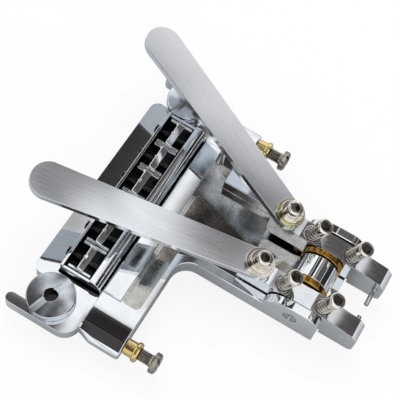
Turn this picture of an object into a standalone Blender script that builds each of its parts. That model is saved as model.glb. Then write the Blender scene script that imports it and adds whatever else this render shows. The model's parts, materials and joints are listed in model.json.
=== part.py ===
"""Guitar string bender: a cast bridge base with six saddles and two palm levers.

The base hangs on two studs that screw into the guitar's top. A rail on it holds six saddles.
Two lever blocks turn on one axle at the tail, and each carries a long arm for the palm. Pressing
an arm down lifts the tail of its block, and with it the pin that holds one string.

Metres, +Z up. The origin is on the underside of the base, midway between the stud axes.
+X runs to the tail, where the levers turn. Left is -Y and right is +Y.
"""
import math

import bmesh
import bpy
from mathutils import Matrix, Vector

# Gaps between pieces
SEAT_GAP = 0.0003
STACK_GAP = 0.00012
RUNNING_GAP = 0.00008

# Strings and saddles
STRING_COUNT = 6
STRING_PITCH = 0.0104
SADDLE_LENGTH = 0.0080
SADDLE_REST = 0.0007
SADDLE_LEG = 0.0010
SADDLE_LEG_HEIGHT = 0.0036
SADDLE_BRIDGE_FRONT = 0.0024
SADDLE_BRIDGE_LENGTH = 0.0030
SADDLE_CREST_HEIGHT = 0.0050
SADDLE_CREST_BACK = 0.0009
SADDLE_SHOULDER_DROP = 0.0013
STRING_NOTCH_WIDTH = 0.0008
STRING_NOTCH_DEPTH = 0.0005

# Saddle rail
RAIL_AHEAD_OF_STUDS = 0.0027
RAIL_FRONT_WALL = 0.0009
RAIL_TRAY = 0.0094
RAIL_SHOULDER = 0.0040
RAIL_SHOULDER_FLAT = 0.0012
RAIL_END_WALL = 0.0009
RAIL_END_HEIGHT = 0.0058
RAIL_SIDE_PLAY = 0.0002
RAIL_FLOOR = 0.0020
RAIL_HEIGHT = 0.0068
RAIL_SHOULDER_DROP = 0.0040

# Intonation screws, one for each saddle
INTONATION_RADIUS = 0.0008
INTONATION_HEIGHT = 0.0037
INTONATION_HEAD_RADIUS = 0.0015
INTONATION_HEAD_LENGTH = 0.0010
INTONATION_SLOT_WIDTH = 0.0005
INTONATION_SLOT_DEPTH = 0.0005

# Screws that hold the rail down, from underneath
RAIL_SCREW_OFFSET = 0.0208
RAIL_SCREW_RADIUS = 0.0015
RAIL_SCREW_HEAD_RADIUS = 0.0027
RAIL_SCREW_HEAD_HEIGHT = 0.0016
RAIL_SCREW_RECESS = 0.0001
RAIL_SCREW_BITE = 0.0016
RAIL_SCREW_SOCKET = 0.0018
RAIL_SCREW_SOCKET_DEPTH = 0.0010

# Studs
STUD_FROM_RAIL_END = 0.00895
STUD_HEAD_RADIUS = 0.0076
STUD_HEAD_HEIGHT = 0.0030
STUD_DOME = 0.0007
STUD_RIM_ROUND = 0.0004
STUD_SOCKET_RADIUS = 0.0021
STUD_SOCKET_DEPTH = 0.0030
STUD_SLOT_WIDTH = 0.0021
STUD_SLOT_DEPTH = 0.0012
STUD_SLOT_ANGLE = math.radians(72.0)
STUD_NECK_RADIUS = 0.0039
STUD_FLANGE_RADIUS = 0.0065
STUD_FLANGE_HEIGHT = 0.0016
STUD_THREAD_RADIUS = 0.0040
STUD_THREAD_LENGTH = 0.0045
STUD_TIP_CHAMFER = 0.0008

# Base casting
FLOOR = 0.0020
RAIL_SEAT = 0.0030
LEDGE_WIDTH = 0.0076
LEDGE_CORNER = 0.0030
LEDGE_PAST_RAIL = 0.0038
FORK_TOP = 0.0050
RIM_TOP = 0.0064
BAR_TOP = 0.0068
BAR_WIDTH = 0.0065
BAR_BEVEL = 0.0004
RECESS_WIDTH = 0.0062
RECESS_SHORT_OF_STUD = 0.00995
RECESS_CORNER = 0.0016
RIM_WIDTH = 0.0018
HOOK_WIDTH = 0.0036
HOOK_REACH = 0.0104
HOOK_BULGE = 0.0055
HOOK_BULGE_BEHIND_STUD = 0.0064
EAR_BEHIND_HEAD = 0.0044
EAR_FLARE = 0.0042
EAR_OUTER_TAPER = 0.0033
EAR_CORNER = 0.0008
EAR_DOME = ((0.0090, -0.0002), (0.0043, 0.0), (-0.0002, 0.0008), (-0.0030, 0.0022), (-0.0046, 0.0042))
NECK_LENGTH = 0.0471
NECK_HALF_WIDTH = 0.0165
NECK_WALL = 0.0030
NECK_FILLET = 0.0059
CHEEK_LENGTH = 0.0185
CHEEK_TOP = 0.0130
CHEEK_ROUND = 0.0042
BOSS_HALF_WIDTH = 0.0040
BOSS_RADIUS = 0.0062
BOSS_LENGTH = 0.0160
BOSS_FOOT_TOP = 0.0050
SLOT_END_PLAY = 0.0006

# The neck and the levers stand to the right of the middle of the studs
LEVER_OFFSET = 0.0081

# Position screws, which push against the studs, and their lock nuts
POSITION_SCREW_HEIGHT = 0.0029
POSITION_SCREW_RADIUS = 0.0020
POSITION_SCREW_BEHIND_EAR = 0.0100
POSITION_HEAD_RADIUS = 0.0033
POSITION_HEAD_LENGTH = 0.0018
POSITION_SLOT_WIDTH = 0.0009
POSITION_SLOT_DEPTH = 0.0008
POSITION_TIP_CHAMFER = 0.0006
LOCK_NUT_BARREL_RADIUS = 0.0028
LOCK_NUT_BARREL_LENGTH = 0.0024
LOCK_NUT_COLLAR_RADIUS = 0.0035
LOCK_NUT_COLLAR_LENGTH = 0.0024
LOCK_NUT_KNURLS = 14
LOCK_NUT_KNURL_DEPTH = 0.00025

# Axle, its grub screw, washers and bushes
AXLE_FROM_TAIL = 0.0090
AXLE_HEIGHT = 0.0072
AXLE_RADIUS = 0.0023
AXLE_SLOT_WIDTH = 0.0008
AXLE_SLOT_DEPTH = 0.0007
GRUB_RADIUS = 0.0015
GRUB_SOCKET_RADIUS = 0.00085
GRUB_SOCKET_DEPTH = 0.0014
GRUB_RECESS = 0.0005
WASHER_RADIUS = 0.0068
WASHER_THICKNESS = 0.0020
BUSH_WALL = 0.0006

# Lever blocks, measured from the axle
BLOCK_FRONT = 0.0208
BLOCK_TAIL = 0.0211
BLOCK_TOP = 0.0052
BLOCK_NOSE_DEPTH = 0.0024
BLOCK_NOSE_END = 0.0090
BLOCK_HUB_DEPTH = 0.0043
BLOCK_HUB_START = 0.0050
BLOCK_TAIL_DEPTH = 0.0064
BLOCK_CLEAR_OF_TAIL = 0.0006
BLOCK_SLOPE_START = 0.0040
BLOCK_SLOPE = math.radians(6.5)
BLOCK_CHAMFER = 0.0021
BLOCK_NOSE_CHAMFER = 0.0018

# Arms and what clamps them
CLAMP_AHEAD_OF_AXLE = 0.0163
CLAMP_SEAT_START = 0.0100
CLAMP_TILT = math.radians(11.0)
CLAMP_SCREW_BITE = 0.0066
ARM_LENGTH = 0.0780
ARM_THICKNESS = 0.0024
ARM_ROOT_RADIUS = 0.0046
ARM_MIDDLE_HALF_WIDTH = 0.0053
ARM_TIP_RADIUS = 0.0059
ARM_EDGE = 0.00035
ARM_SPLAY_LEFT = math.radians(14.0)
ARM_SPLAY_RIGHT = math.radians(21.5)
FLAT_WASHER_RADIUS = 0.0047
FLAT_WASHER_THICKNESS = 0.0010
SPRING_WASHER_RADIUS = 0.0037
SPRING_WASHER_THICKNESS = 0.0014

# Cap screws: the clamps and the adjusters are the same M3 size
CAP_SCREW_RADIUS = 0.00145
CAP_HEAD_RADIUS = 0.00275
CAP_HEAD_LENGTH = 0.0030
CAP_HEAD_CHAMFER = 0.0003
CAP_SOCKET_RADIUS = 0.00144
CAP_SOCKET_DEPTH = 0.0016
CAP_TIP_CHAMFER = 0.0004

# Adjusters and their springs
ADJUSTER_TILT = math.radians(16.5)
FRONT_ADJUSTER_AHEAD = 0.0065
REAR_ADJUSTER_BEHIND = 0.0073
FRONT_ADJUSTER_STAND = 0.0058
REAR_ADJUSTER_STAND = 0.0067
FRONT_ADJUSTER_TIP_GAP = 0.0013
SPRING_POCKET_RADIUS = 0.0026
SPRING_POCKET_DEPTH = 0.0010
SPRING_WIRE_RADIUS = 0.0003
SPRING_COIL_RADIUS = 0.00205
SPRING_PITCH = 0.00122
SPRING_POINTS = 8
SPRING_LEAST_GAP = 0.0004

# String pins
PIN_BEHIND_AXLE = 0.0184
PIN_BELOW_AXLE = 0.0008
PIN_RADIUS = 0.00075
PIN_SHOWING = {"left": 0.0028, "right": 0.0063}
PIN_SEATED = 0.0040

# Numbers of sides on round pieces
FINE_STEPS = 32
ROUND_STEPS = 20
SMALL_STEPS = 12
FILLET_STEPS = 6

# A power of two, so that enlarging and shrinking a mesh changes no digit
BOOLEAN_SCALE = 1024.0

# Places that follow from the sizes above
SIDES = {"left": -1, "right": 1}
RAIL_FRONT = -RAIL_AHEAD_OF_STUDS
TRAY_FRONT = RAIL_FRONT + RAIL_FRONT_WALL
TRAY_REAR = TRAY_FRONT + RAIL_TRAY
RAIL_REAR = TRAY_REAR + RAIL_SHOULDER
RAIL_BOTTOM = RAIL_SEAT + SEAT_GAP
TRAY_FLOOR = RAIL_BOTTOM + RAIL_FLOOR
SADDLE_BOTTOM = TRAY_FLOOR + STACK_GAP
TRAY_HALF = STRING_COUNT * STRING_PITCH / 2 + RAIL_SIDE_PLAY
RAIL_HALF = TRAY_HALF + RAIL_END_WALL
STUD_Y = RAIL_HALF + STUD_FROM_RAIL_END
FORK_RADIUS = STUD_NECK_RADIUS + SEAT_GAP
LEDGE_FRONT = RAIL_FRONT - LEDGE_WIDTH
LEDGE_HALF = RAIL_HALF + LEDGE_PAST_RAIL
BAR_FRONT = RAIL_REAR + SEAT_GAP
RECESS_FRONT = BAR_FRONT + BAR_WIDTH
RECESS_REAR = RECESS_FRONT + RECESS_WIDTH
RECESS_HALF = STUD_Y - RECESS_SHORT_OF_STUD
CROSSBAR_REAR = RECESS_REAR + RIM_WIDTH
HOOK_CENTRE_Y = STUD_Y + FORK_RADIUS + HOOK_WIDTH / 2
OUTER_Y = HOOK_CENTRE_Y + HOOK_WIDTH / 2
EAR_FRONT = STUD_HEAD_RADIUS + EAR_BEHIND_HEAD
EAR_OUTER = OUTER_Y - EAR_OUTER_TAPER
TAIL_X = CROSSBAR_REAR + NECK_LENGTH
CHANNEL_HALF = NECK_HALF_WIDTH - NECK_WALL
AXLE_X = TAIL_X - AXLE_FROM_TAIL
WASHER_INNER = BOSS_HALF_WIDTH + SEAT_GAP
WASHER_OUTER = WASHER_INNER + WASHER_THICKNESS
BLOCK_INNER = WASHER_OUTER + SEAT_GAP
BLOCK_OUTER = CHANNEL_HALF - SEAT_GAP
BLOCK_Y = (BLOCK_INNER + BLOCK_OUTER) / 2
BLOCK_WIDTH = BLOCK_OUTER - BLOCK_INNER
BUSH_BORE = AXLE_RADIUS + RUNNING_GAP
BUSH_RADIUS = BUSH_BORE + BUSH_WALL
SCREW_BORE = CAP_SCREW_RADIUS + RUNNING_GAP
CLAMP_SEAT_HEIGHT = BLOCK_TOP + (CLAMP_AHEAD_OF_AXLE - CLAMP_SEAT_START) * math.tan(CLAMP_TILT)
REAR_SLOPE_DROP = (REAR_ADJUSTER_BEHIND - BLOCK_SLOPE_START) * math.tan(BLOCK_SLOPE)

# Quarter turns in whole numbers: Z to X, Z to Y, and Y to Z
ALONG_X = Matrix(((0, 0, 1, 0), (0, 1, 0, 0), (-1, 0, 0, 0), (0, 0, 0, 1)))
ALONG_Y = Matrix(((1, 0, 0, 0), (0, 0, 1, 0), (0, -1, 0, 0), (0, 0, 0, 1)))
STAND_UP = Matrix(((1, 0, 0, 0), (0, 0, -1, 0), (0, 1, 0, 0), (0, 0, 0, 1)))


def shift(x, y, z):
    return Matrix.Translation(Vector((x, y, z)))


def arc(centre_x, centre_y, radius, start, end, steps=FILLET_STEPS):
    """Points along a circle from one angle to the other, in degrees."""
    points = []
    for step in range(steps + 1):
        angle = math.radians(start + (end - start) * step / steps)
        points.append((centre_x + radius * math.cos(angle), centre_y + radius * math.sin(angle)))
    return points


def quarter(centre_x, centre_z, across, up, steps=FILLET_STEPS):
    """A quarter of an ellipse, from its end at +X up to its top."""
    turns = [math.pi / 2 * step / steps for step in range(steps + 1)]
    return [(centre_x + across * math.cos(turn), centre_z + up * math.sin(turn)) for turn in turns]


def solid(bm, name="solid"):
    """Turn a closed bmesh into an object with its faces pointing out."""
    bmesh.ops.recalc_face_normals(bm, faces=bm.faces)
    mesh = bpy.data.meshes.new(name)
    bm.to_mesh(mesh)
    bm.free()
    item = bpy.data.objects.new(name, mesh)
    bpy.context.scene.collection.objects.link(item)
    return item


def prism(outline, low, high, matrix=None):
    """A flat outline in X and Y, pulled up from one height to another."""
    bm = bmesh.new()
    lower = [bm.verts.new((x, y, low)) for x, y in outline]
    upper = [bm.verts.new((x, y, high)) for x, y in outline]
    bm.faces.new(lower)
    bm.faces.new(upper)
    for index in range(len(outline)):
        after = (index + 1) % len(outline)
        bm.faces.new((lower[index], lower[after], upper[after], upper[index]))
    if matrix is not None:
        bm.transform(matrix)
    return solid(bm)


def side_prism(outline, left, right):
    """A flat outline in X and Z, pulled from one Y to another."""
    return prism(outline, -right, -left, STAND_UP)


def box(x_low, x_high, y_low, y_high, z_low, z_high):
    outline = [(x_low, y_low), (x_high, y_low), (x_high, y_high), (x_low, y_high)]
    return prism(outline, z_low, z_high)


def turned(profile, steps=ROUND_STEPS, matrix=None, loop=False):
    """Turn a list of (radius, height) about Z. A loop is a ring with a hole through it."""
    bm = bmesh.new()
    rings = []
    for radius, height in profile:
        ring = []
        for step in range(steps):
            angle = 2 * math.pi * step / steps
            ring.append(bm.verts.new((radius * math.cos(angle), radius * math.sin(angle), height)))
        rings.append(ring)
    pairs = list(zip(rings, rings[1:]))
    if loop:
        pairs.append((rings[-1], rings[0]))
    else:
        bm.faces.new(rings[0])
        bm.faces.new(rings[-1])
    for lower, upper in pairs:
        for step in range(steps):
            after = (step + 1) % steps
            bm.faces.new((lower[step], lower[after], upper[after], upper[step]))
    item = solid(bm)
    if matrix is not None:
        item.data.transform(matrix)
    return item


def rod(radius, low, high, steps=ROUND_STEPS, matrix=None):
    return turned([(radius, low), (radius, high)], steps, matrix)


def combine(body, tool, operation):
    """Apply a Boolean with a second solid, and remove that solid.

    Both are enlarged for it, because the solver's own tolerances suit larger shapes.
    """
    body.data.transform(Matrix.Scale(BOOLEAN_SCALE, 4))
    tool.data.transform(Matrix.Scale(BOOLEAN_SCALE, 4))
    modifier = body.modifiers.new(operation.lower(), "BOOLEAN")
    modifier.operation = operation
    modifier.solver = "EXACT"
    modifier.object = tool
    bpy.context.view_layer.update()
    graph = bpy.context.evaluated_depsgraph_get()
    result = bpy.data.meshes.new_from_object(body.evaluated_get(graph))
    body.modifiers.remove(modifier)
    result.transform(Matrix.Scale(1.0 / BOOLEAN_SCALE, 4))
    body.data = result
    bpy.data.objects.remove(tool)
    return body


def cut(body, tool):
    return combine(body, tool, "DIFFERENCE")


def join(body, tool):
    return combine(body, tool, "UNION")


def make_material(name, colour, metallic, roughness):
    material = bpy.data.materials.new(name)
    material.use_nodes = True
    shader = material.node_tree.nodes["Principled BSDF"]
    shader.inputs["Base Color"].default_value = (*colour, 1.0)
    shader.inputs["Metallic"].default_value = metallic
    shader.inputs["Roughness"].default_value = roughness
    return material


def finish(item, name, material, place=None, parent=None):
    """Name a solid, give it its material and put it in its place."""
    item.name = name
    item.data.name = name
    item.data.materials.clear()
    item.data.materials.append(material)
    item.data.shade_smooth()
    item.data.set_sharp_from_angle(angle=math.radians(30.0))
    item.parent = parent
    if place is not None:
        item.matrix_local = place
    return item


def copy_of(item, name, place, parent=None):
    """A second piece with the same mesh."""
    twin = bpy.data.objects.new(name, item.data)
    bpy.context.scene.collection.objects.link(twin)
    twin.parent = parent
    twin.matrix_local = place
    return twin


def pivot(name, place, parent=None):
    """An empty on a joint's axis, which carries the pieces that move with it."""
    empty = bpy.data.objects.new(name, None)
    bpy.context.scene.collection.objects.link(empty)
    empty.parent = parent
    empty.matrix_local = place
    return empty


def mirrored(half):
    """Close an outline whose left half repeats its right half the other way round."""
    return half + [(x, -y) for x, y in reversed(half)]


def half_outline(side):
    """One side of the casting seen from above, with its Y counted outwards."""
    corner_x = LEDGE_FRONT + LEDGE_CORNER
    corner_y = LEDGE_HALF - LEDGE_CORNER
    half = arc(corner_x, corner_y, LEDGE_CORNER, 180.0, 90.0)
    half.append((-FORK_RADIUS, LEDGE_HALF))
    half.append((-FORK_RADIUS / 2, STUD_Y - FORK_RADIUS))
    half += arc(0.0, STUD_Y, FORK_RADIUS, -90.0, 90.0, 2 * FILLET_STEPS)
    half += arc(-HOOK_REACH, HOOK_CENTRE_Y, HOOK_WIDTH / 2, -90.0, -270.0, FILLET_STEPS)
    half += arc(HOOK_BULGE_BEHIND_STUD, OUTER_Y - HOOK_BULGE, HOOK_BULGE, 90.0, 8.0)
    half.append((EAR_FRONT + EAR_FLARE, EAR_OUTER))
    half += arc(CROSSBAR_REAR - EAR_CORNER, EAR_OUTER - EAR_CORNER, EAR_CORNER, 90.0, 0.0, 2)
    neck_y = NECK_HALF_WIDTH + side * LEVER_OFFSET
    half += arc(CROSSBAR_REAR + NECK_FILLET, neck_y + NECK_FILLET, NECK_FILLET, 180.0, 270.0)
    half.append((TAIL_X, neck_y))
    return half


def base_outline():
    """The casting seen from above: ledge, forks round the studs, ears, crossbar and neck."""
    return half_outline(1) + [(x, -y) for x, y in reversed(half_outline(-1))]


def ear_dome(side):
    """What is cut away over an ear, whose top falls off in a curve to its outer edge."""
    profile = [(STUD_Y - inside, RIM_TOP - fall) for inside, fall in EAR_DOME]
    past = OUTER_Y + EAR_FLARE
    profile += [(past, profile[-1][1]), (past, 2 * RIM_TOP), (profile[0][0], 2 * RIM_TOP)]
    stand = Matrix(((0, 0, 1, 0), (side, 0, 0, 0), (0, 1, 0, 0), (0, 0, 0, 1)))
    return prism(profile, EAR_FRONT, CROSSBAR_REAR + FLOOR, stand)


def cheek(side):
    """One of the two plates that carry the ends of the axle."""
    front = TAIL_X - CHEEK_LENGTH
    hump = quarter(-AXLE_X, RIM_TOP, AXLE_X - front, CHEEK_TOP - RIM_TOP)
    outline = [(front, FLOOR)] + [(-x, z) for x, z in hump]
    outline += arc(TAIL_X - CHEEK_ROUND, CHEEK_TOP - CHEEK_ROUND, CHEEK_ROUND, 90.0, 0.0)
    outline.append((TAIL_X, FLOOR))
    edges = sorted((LEVER_OFFSET + side * CHANNEL_HALF, LEVER_OFFSET + side * NECK_HALF_WIDTH))
    return side_prism(outline, edges[0], edges[1])


def boss():
    """The round boss between the two levers, on a foot, which holds the middle of the axle."""
    front = TAIL_X - BOSS_LENGTH
    outline = [(front, FLOOR / 2), (front, BOSS_FOOT_TOP)]
    outline += arc(AXLE_X, AXLE_HEIGHT, BOSS_RADIUS, 200.0, 0.0, 2 * FILLET_STEPS)
    outline.append((AXLE_X + BOSS_RADIUS, FLOOR / 2))
    return side_prism(outline, LEVER_OFFSET - BOSS_HALF_WIDTH, LEVER_OFFSET + BOSS_HALF_WIDTH)


def light_bar():
    """The raised bar behind the rail, with a bevel towards the rail."""
    outline = [
        (BAR_FRONT, FLOOR), (BAR_FRONT, BAR_TOP - BAR_BEVEL), (BAR_FRONT + BAR_BEVEL, BAR_TOP),
        (RECESS_FRONT, BAR_TOP), (RECESS_FRONT, FLOOR),
    ]
    return side_prism(outline, -RECESS_HALF, RECESS_HALF)


def recess():
    """The trough between the light bar and the rear rim."""
    half = arc(RECESS_FRONT + RECESS_CORNER, RECESS_HALF - RECESS_CORNER, RECESS_CORNER, 180.0, 90.0)
    half += arc(RECESS_REAR - RECESS_CORNER, RECESS_HALF - RECESS_CORNER, RECESS_CORNER, 90.0, 0.0)
    return prism(mirrored(half), FLOOR, 2 * RIM_TOP)


def washer_slot(side):
    """Room in the floor for the bottom of a thrust washer, where the washer dips below its top."""
    reach = math.sqrt(WASHER_RADIUS ** 2 - (AXLE_HEIGHT - FLOOR) ** 2) + SLOT_END_PLAY
    edges = sorted((LEVER_OFFSET + side * BOSS_HALF_WIDTH, LEVER_OFFSET + side * (WASHER_OUTER + SEAT_GAP)))
    return box(AXLE_X - reach, AXLE_X + reach, edges[0], edges[1], -FLOOR, 2 * FLOOR)


def make_base(material):
    body = prism(base_outline(), 0.0, RIM_TOP)
    body = cut(body, box(2 * LEDGE_FRONT, EAR_FRONT, -2 * OUTER_Y, 2 * OUTER_Y, FORK_TOP, 2 * RIM_TOP))
    body = join(body, light_bar())
    body = cut(body, box(RAIL_FRONT - SEAT_GAP, BAR_FRONT, -RAIL_HALF - SEAT_GAP, RAIL_HALF + SEAT_GAP,
                         RAIL_SEAT, 2 * RIM_TOP))
    body = cut(body, recess())
    body = cut(body, box(RECESS_REAR - RECESS_CORNER, TAIL_X + FLOOR, LEVER_OFFSET - CHANNEL_HALF,
                         LEVER_OFFSET + CHANNEL_HALF, FLOOR, 2 * RIM_TOP))
    body = join(body, boss())
    for side in SIDES.values():
        body = cut(body, ear_dome(side))
        body = join(body, cheek(side))
        body = cut(body, washer_slot(side))
        bore = rod(POSITION_SCREW_RADIUS + RUNNING_GAP, 0.0, CROSSBAR_REAR + FLOOR, ROUND_STEPS, ALONG_X)
        bore.data.transform(shift(0.0, side * STUD_Y, POSITION_SCREW_HEIGHT))
        body = cut(body, bore)
        body = cut(body, rail_screw_bore(side))
    axle_bore = rod(AXLE_RADIUS + RUNNING_GAP, -OUTER_Y, OUTER_Y, ROUND_STEPS, ALONG_Y)
    axle_bore.data.transform(shift(AXLE_X, 0.0, AXLE_HEIGHT))
    body = cut(body, axle_bore)
    grub_bore = rod(GRUB_RADIUS + RUNNING_GAP, AXLE_X, TAIL_X + FLOOR, SMALL_STEPS, ALONG_X)
    grub_bore.data.transform(shift(0.0, LEVER_OFFSET, AXLE_HEIGHT))
    body = cut(body, grub_bore)
    return finish(body, "base", material)


def rail_screw_profile(grow):
    """The countersunk screw, or with some growth the hole that takes it."""
    head = RAIL_SCREW_HEAD_RADIUS + grow
    return [(head, 0.0), (RAIL_SCREW_RADIUS + grow, RAIL_SCREW_HEAD_HEIGHT)]


def rail_screw_x():
    return (TRAY_FRONT + TRAY_REAR) / 2


def rail_screw_bore(side):
    shape = rail_screw_profile(RUNNING_GAP)
    profile = [(shape[0][0], -FLOOR), shape[0], shape[1], (shape[1][0], 2 * RAIL_SEAT)]
    place = shift(rail_screw_x(), side * RAIL_SCREW_OFFSET, RAIL_SCREW_RECESS)
    return turned(profile, ROUND_STEPS, place)


def make_rail_screws(material):
    shape = rail_screw_profile(0.0)
    end = RAIL_BOTTOM - RAIL_SCREW_RECESS + RAIL_SCREW_BITE
    screw = turned([shape[0], shape[1], (shape[1][0], end)], ROUND_STEPS)
    socket = rod(RAIL_SCREW_SOCKET / math.sqrt(3.0), -FLOOR, RAIL_SCREW_SOCKET_DEPTH, 6)
    screw = cut(screw, socket)
    for label, side in SIDES.items():
        place = shift(rail_screw_x(), side * RAIL_SCREW_OFFSET, RAIL_SCREW_RECESS)
        if side < 0:
            finish(screw, "rail_screw_" + label, material, place)
        else:
            copy_of(screw, "rail_screw_" + label, place)


def string_y(number):
    """The Y of a string, counted from 1 on the left."""
    return (number - (STRING_COUNT + 1) / 2) * STRING_PITCH


def make_rail(material):
    top = RAIL_BOTTOM + RAIL_HEIGHT
    flat_end = TRAY_REAR + RAIL_SHOULDER_FLAT
    profile = [(RAIL_FRONT, RAIL_BOTTOM), (RAIL_REAR, RAIL_BOTTOM)]
    profile += quarter(flat_end, top - RAIL_SHOULDER_DROP, RAIL_REAR - flat_end, RAIL_SHOULDER_DROP)
    profile.append((RAIL_FRONT, top))
    body = side_prism(profile, -RAIL_HALF, RAIL_HALF)
    body = cut(body, box(TRAY_FRONT, TRAY_REAR, -TRAY_HALF, TRAY_HALF, TRAY_FLOOR, 2 * top))
    end_top = RAIL_BOTTOM + RAIL_END_HEIGHT
    for side in SIDES.values():
        edges = sorted((side * (TRAY_HALF - SEAT_GAP), side * 2 * RAIL_HALF))
        body = cut(body, box(TRAY_FRONT, TRAY_REAR, edges[0], edges[1], end_top, 2 * top))
        hole = rod(RAIL_SCREW_RADIUS + RUNNING_GAP, 0.0, RAIL_BOTTOM + RAIL_SCREW_BITE + STACK_GAP)
        hole.data.transform(shift(rail_screw_x(), side * RAIL_SCREW_OFFSET, 0.0))
        body = cut(body, hole)
    for number in range(1, STRING_COUNT + 1):
        hole = rod(INTONATION_RADIUS + RUNNING_GAP, 2 * RAIL_FRONT, TRAY_FRONT + RAIL_FRONT_WALL,
                   SMALL_STEPS, ALONG_X)
        hole.data.transform(shift(0.0, string_y(number), RAIL_BOTTOM + INTONATION_HEIGHT))
        body = cut(body, hole)
    return finish(body, "rail", material)


def make_saddles(material):
    """Six H-shaped saddles: two legs, and a bridge with the string's crest."""
    half = (STRING_PITCH - SEAT_GAP) / 2
    leg = half - SADDLE_LEG
    bridge_rear = SADDLE_BRIDGE_FRONT + SADDLE_BRIDGE_LENGTH
    outline = [
        (0.0, -half), (SADDLE_LENGTH, -half), (SADDLE_LENGTH, -leg), (bridge_rear, -leg),
        (bridge_rear, leg), (SADDLE_LENGTH, leg), (SADDLE_LENGTH, half), (0.0, half),
        (0.0, leg), (SADDLE_BRIDGE_FRONT, leg), (SADDLE_BRIDGE_FRONT, -leg), (0.0, -leg),
    ]
    body = prism(outline, 0.0, SADDLE_LEG_HEIGHT)
    crest_x = SADDLE_BRIDGE_FRONT + SADDLE_CREST_BACK
    shoulder = SADDLE_CREST_HEIGHT - SADDLE_SHOULDER_DROP
    ridge = [
        (SADDLE_BRIDGE_FRONT, SADDLE_LEG_HEIGHT / 2), (bridge_rear, SADDLE_LEG_HEIGHT / 2),
        (bridge_rear, shoulder), (crest_x, SADDLE_CREST_HEIGHT), (SADDLE_BRIDGE_FRONT, shoulder),
    ]
    body = join(body, side_prism(ridge, -leg - SADDLE_LEG / 2, leg + SADDLE_LEG / 2))
    notch_low = SADDLE_CREST_HEIGHT - STRING_NOTCH_DEPTH
    body = cut(body, box(-SADDLE_LENGTH, 2 * SADDLE_LENGTH, -STRING_NOTCH_WIDTH / 2,
                         STRING_NOTCH_WIDTH / 2, notch_low, 2 * SADDLE_CREST_HEIGHT))
    bore = rod(INTONATION_RADIUS + RUNNING_GAP, -SADDLE_LENGTH, 2 * SADDLE_LENGTH, SMALL_STEPS, ALONG_X)
    bore.data.transform(shift(0.0, 0.0, RAIL_BOTTOM + INTONATION_HEIGHT - SADDLE_BOTTOM))
    body = cut(body, bore)
    for number in range(1, STRING_COUNT + 1):
        place = shift(TRAY_FRONT + SADDLE_REST, string_y(number), SADDLE_BOTTOM)
        if number == 1:
            finish(body, "saddle_1", material, place)
        else:
            copy_of(body, "saddle_" + str(number), place)


def make_intonation_screws(material):
    """Each runs through the front wall of the rail and its saddle's bridge, head in front."""
    reach = TRAY_REAR - RAIL_FRONT - SEAT_GAP
    head = -SEAT_GAP - INTONATION_HEAD_LENGTH
    profile = [
        (INTONATION_HEAD_RADIUS, head), (INTONATION_HEAD_RADIUS, -SEAT_GAP),
        (INTONATION_RADIUS, -SEAT_GAP), (INTONATION_RADIUS, reach),
    ]
    screw = turned(profile, SMALL_STEPS, ALONG_X)
    screw = cut(screw, box(2 * head, head + INTONATION_SLOT_DEPTH, -INTONATION_SLOT_WIDTH / 2,
                           INTONATION_SLOT_WIDTH / 2, 2 * head, -2 * head))
    for number in range(1, STRING_COUNT + 1):
        place = shift(RAIL_FRONT, string_y(number), RAIL_BOTTOM + INTONATION_HEIGHT)
        if number == 1:
            finish(screw, "intonation_screw_1", material, place)
        else:
            copy_of(screw, "intonation_screw_" + str(number), place)


def make_studs(material):
    """Each stud has a slotted, domed head, a neck in the fork, a flange and a threaded shank."""
    head_low = FORK_TOP + SEAT_GAP
    head_top = head_low + STUD_HEAD_HEIGHT
    rim_top = head_top - STUD_DOME
    flange_top = -SEAT_GAP
    flange_low = flange_top - STUD_FLANGE_HEIGHT
    tip = flange_low - STUD_THREAD_LENGTH
    edge = STUD_RIM_ROUND
    profile = [
        (STUD_THREAD_RADIUS - STUD_TIP_CHAMFER, tip), (STUD_THREAD_RADIUS, tip + STUD_TIP_CHAMFER),
        (STUD_THREAD_RADIUS, flange_low), (STUD_FLANGE_RADIUS, flange_low),
        (STUD_FLANGE_RADIUS, flange_top), (STUD_NECK_RADIUS, flange_top),
        (STUD_NECK_RADIUS, head_low), (STUD_HEAD_RADIUS - edge, head_low),
        (STUD_HEAD_RADIUS, head_low + edge), (STUD_HEAD_RADIUS, rim_top - edge),
    ]
    for step in range(FILLET_STEPS):
        radius = STUD_HEAD_RADIUS - edge
        radius -= (radius - STUD_SOCKET_RADIUS) * step / (FILLET_STEPS - 1)
        profile.append((radius, head_top - STUD_DOME * (radius / STUD_HEAD_RADIUS) ** 2))
    profile.append((STUD_SOCKET_RADIUS, head_top - STUD_SOCKET_DEPTH))
    stud = turned(profile, FINE_STEPS)
    slot = box(-2 * STUD_HEAD_RADIUS, 2 * STUD_HEAD_RADIUS, -STUD_SLOT_WIDTH / 2, STUD_SLOT_WIDTH / 2,
               head_top - STUD_SLOT_DEPTH, 2 * head_top)
    slot.data.transform(Matrix.Rotation(STUD_SLOT_ANGLE, 4, "Z"))
    stud = cut(stud, slot)
    for label, side in SIDES.items():
        place = shift(0.0, side * STUD_Y, 0.0)
        if side < 0:
            finish(stud, "stud_" + label, material, place)
        else:
            copy_of(stud, "stud_" + label, place)


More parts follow.
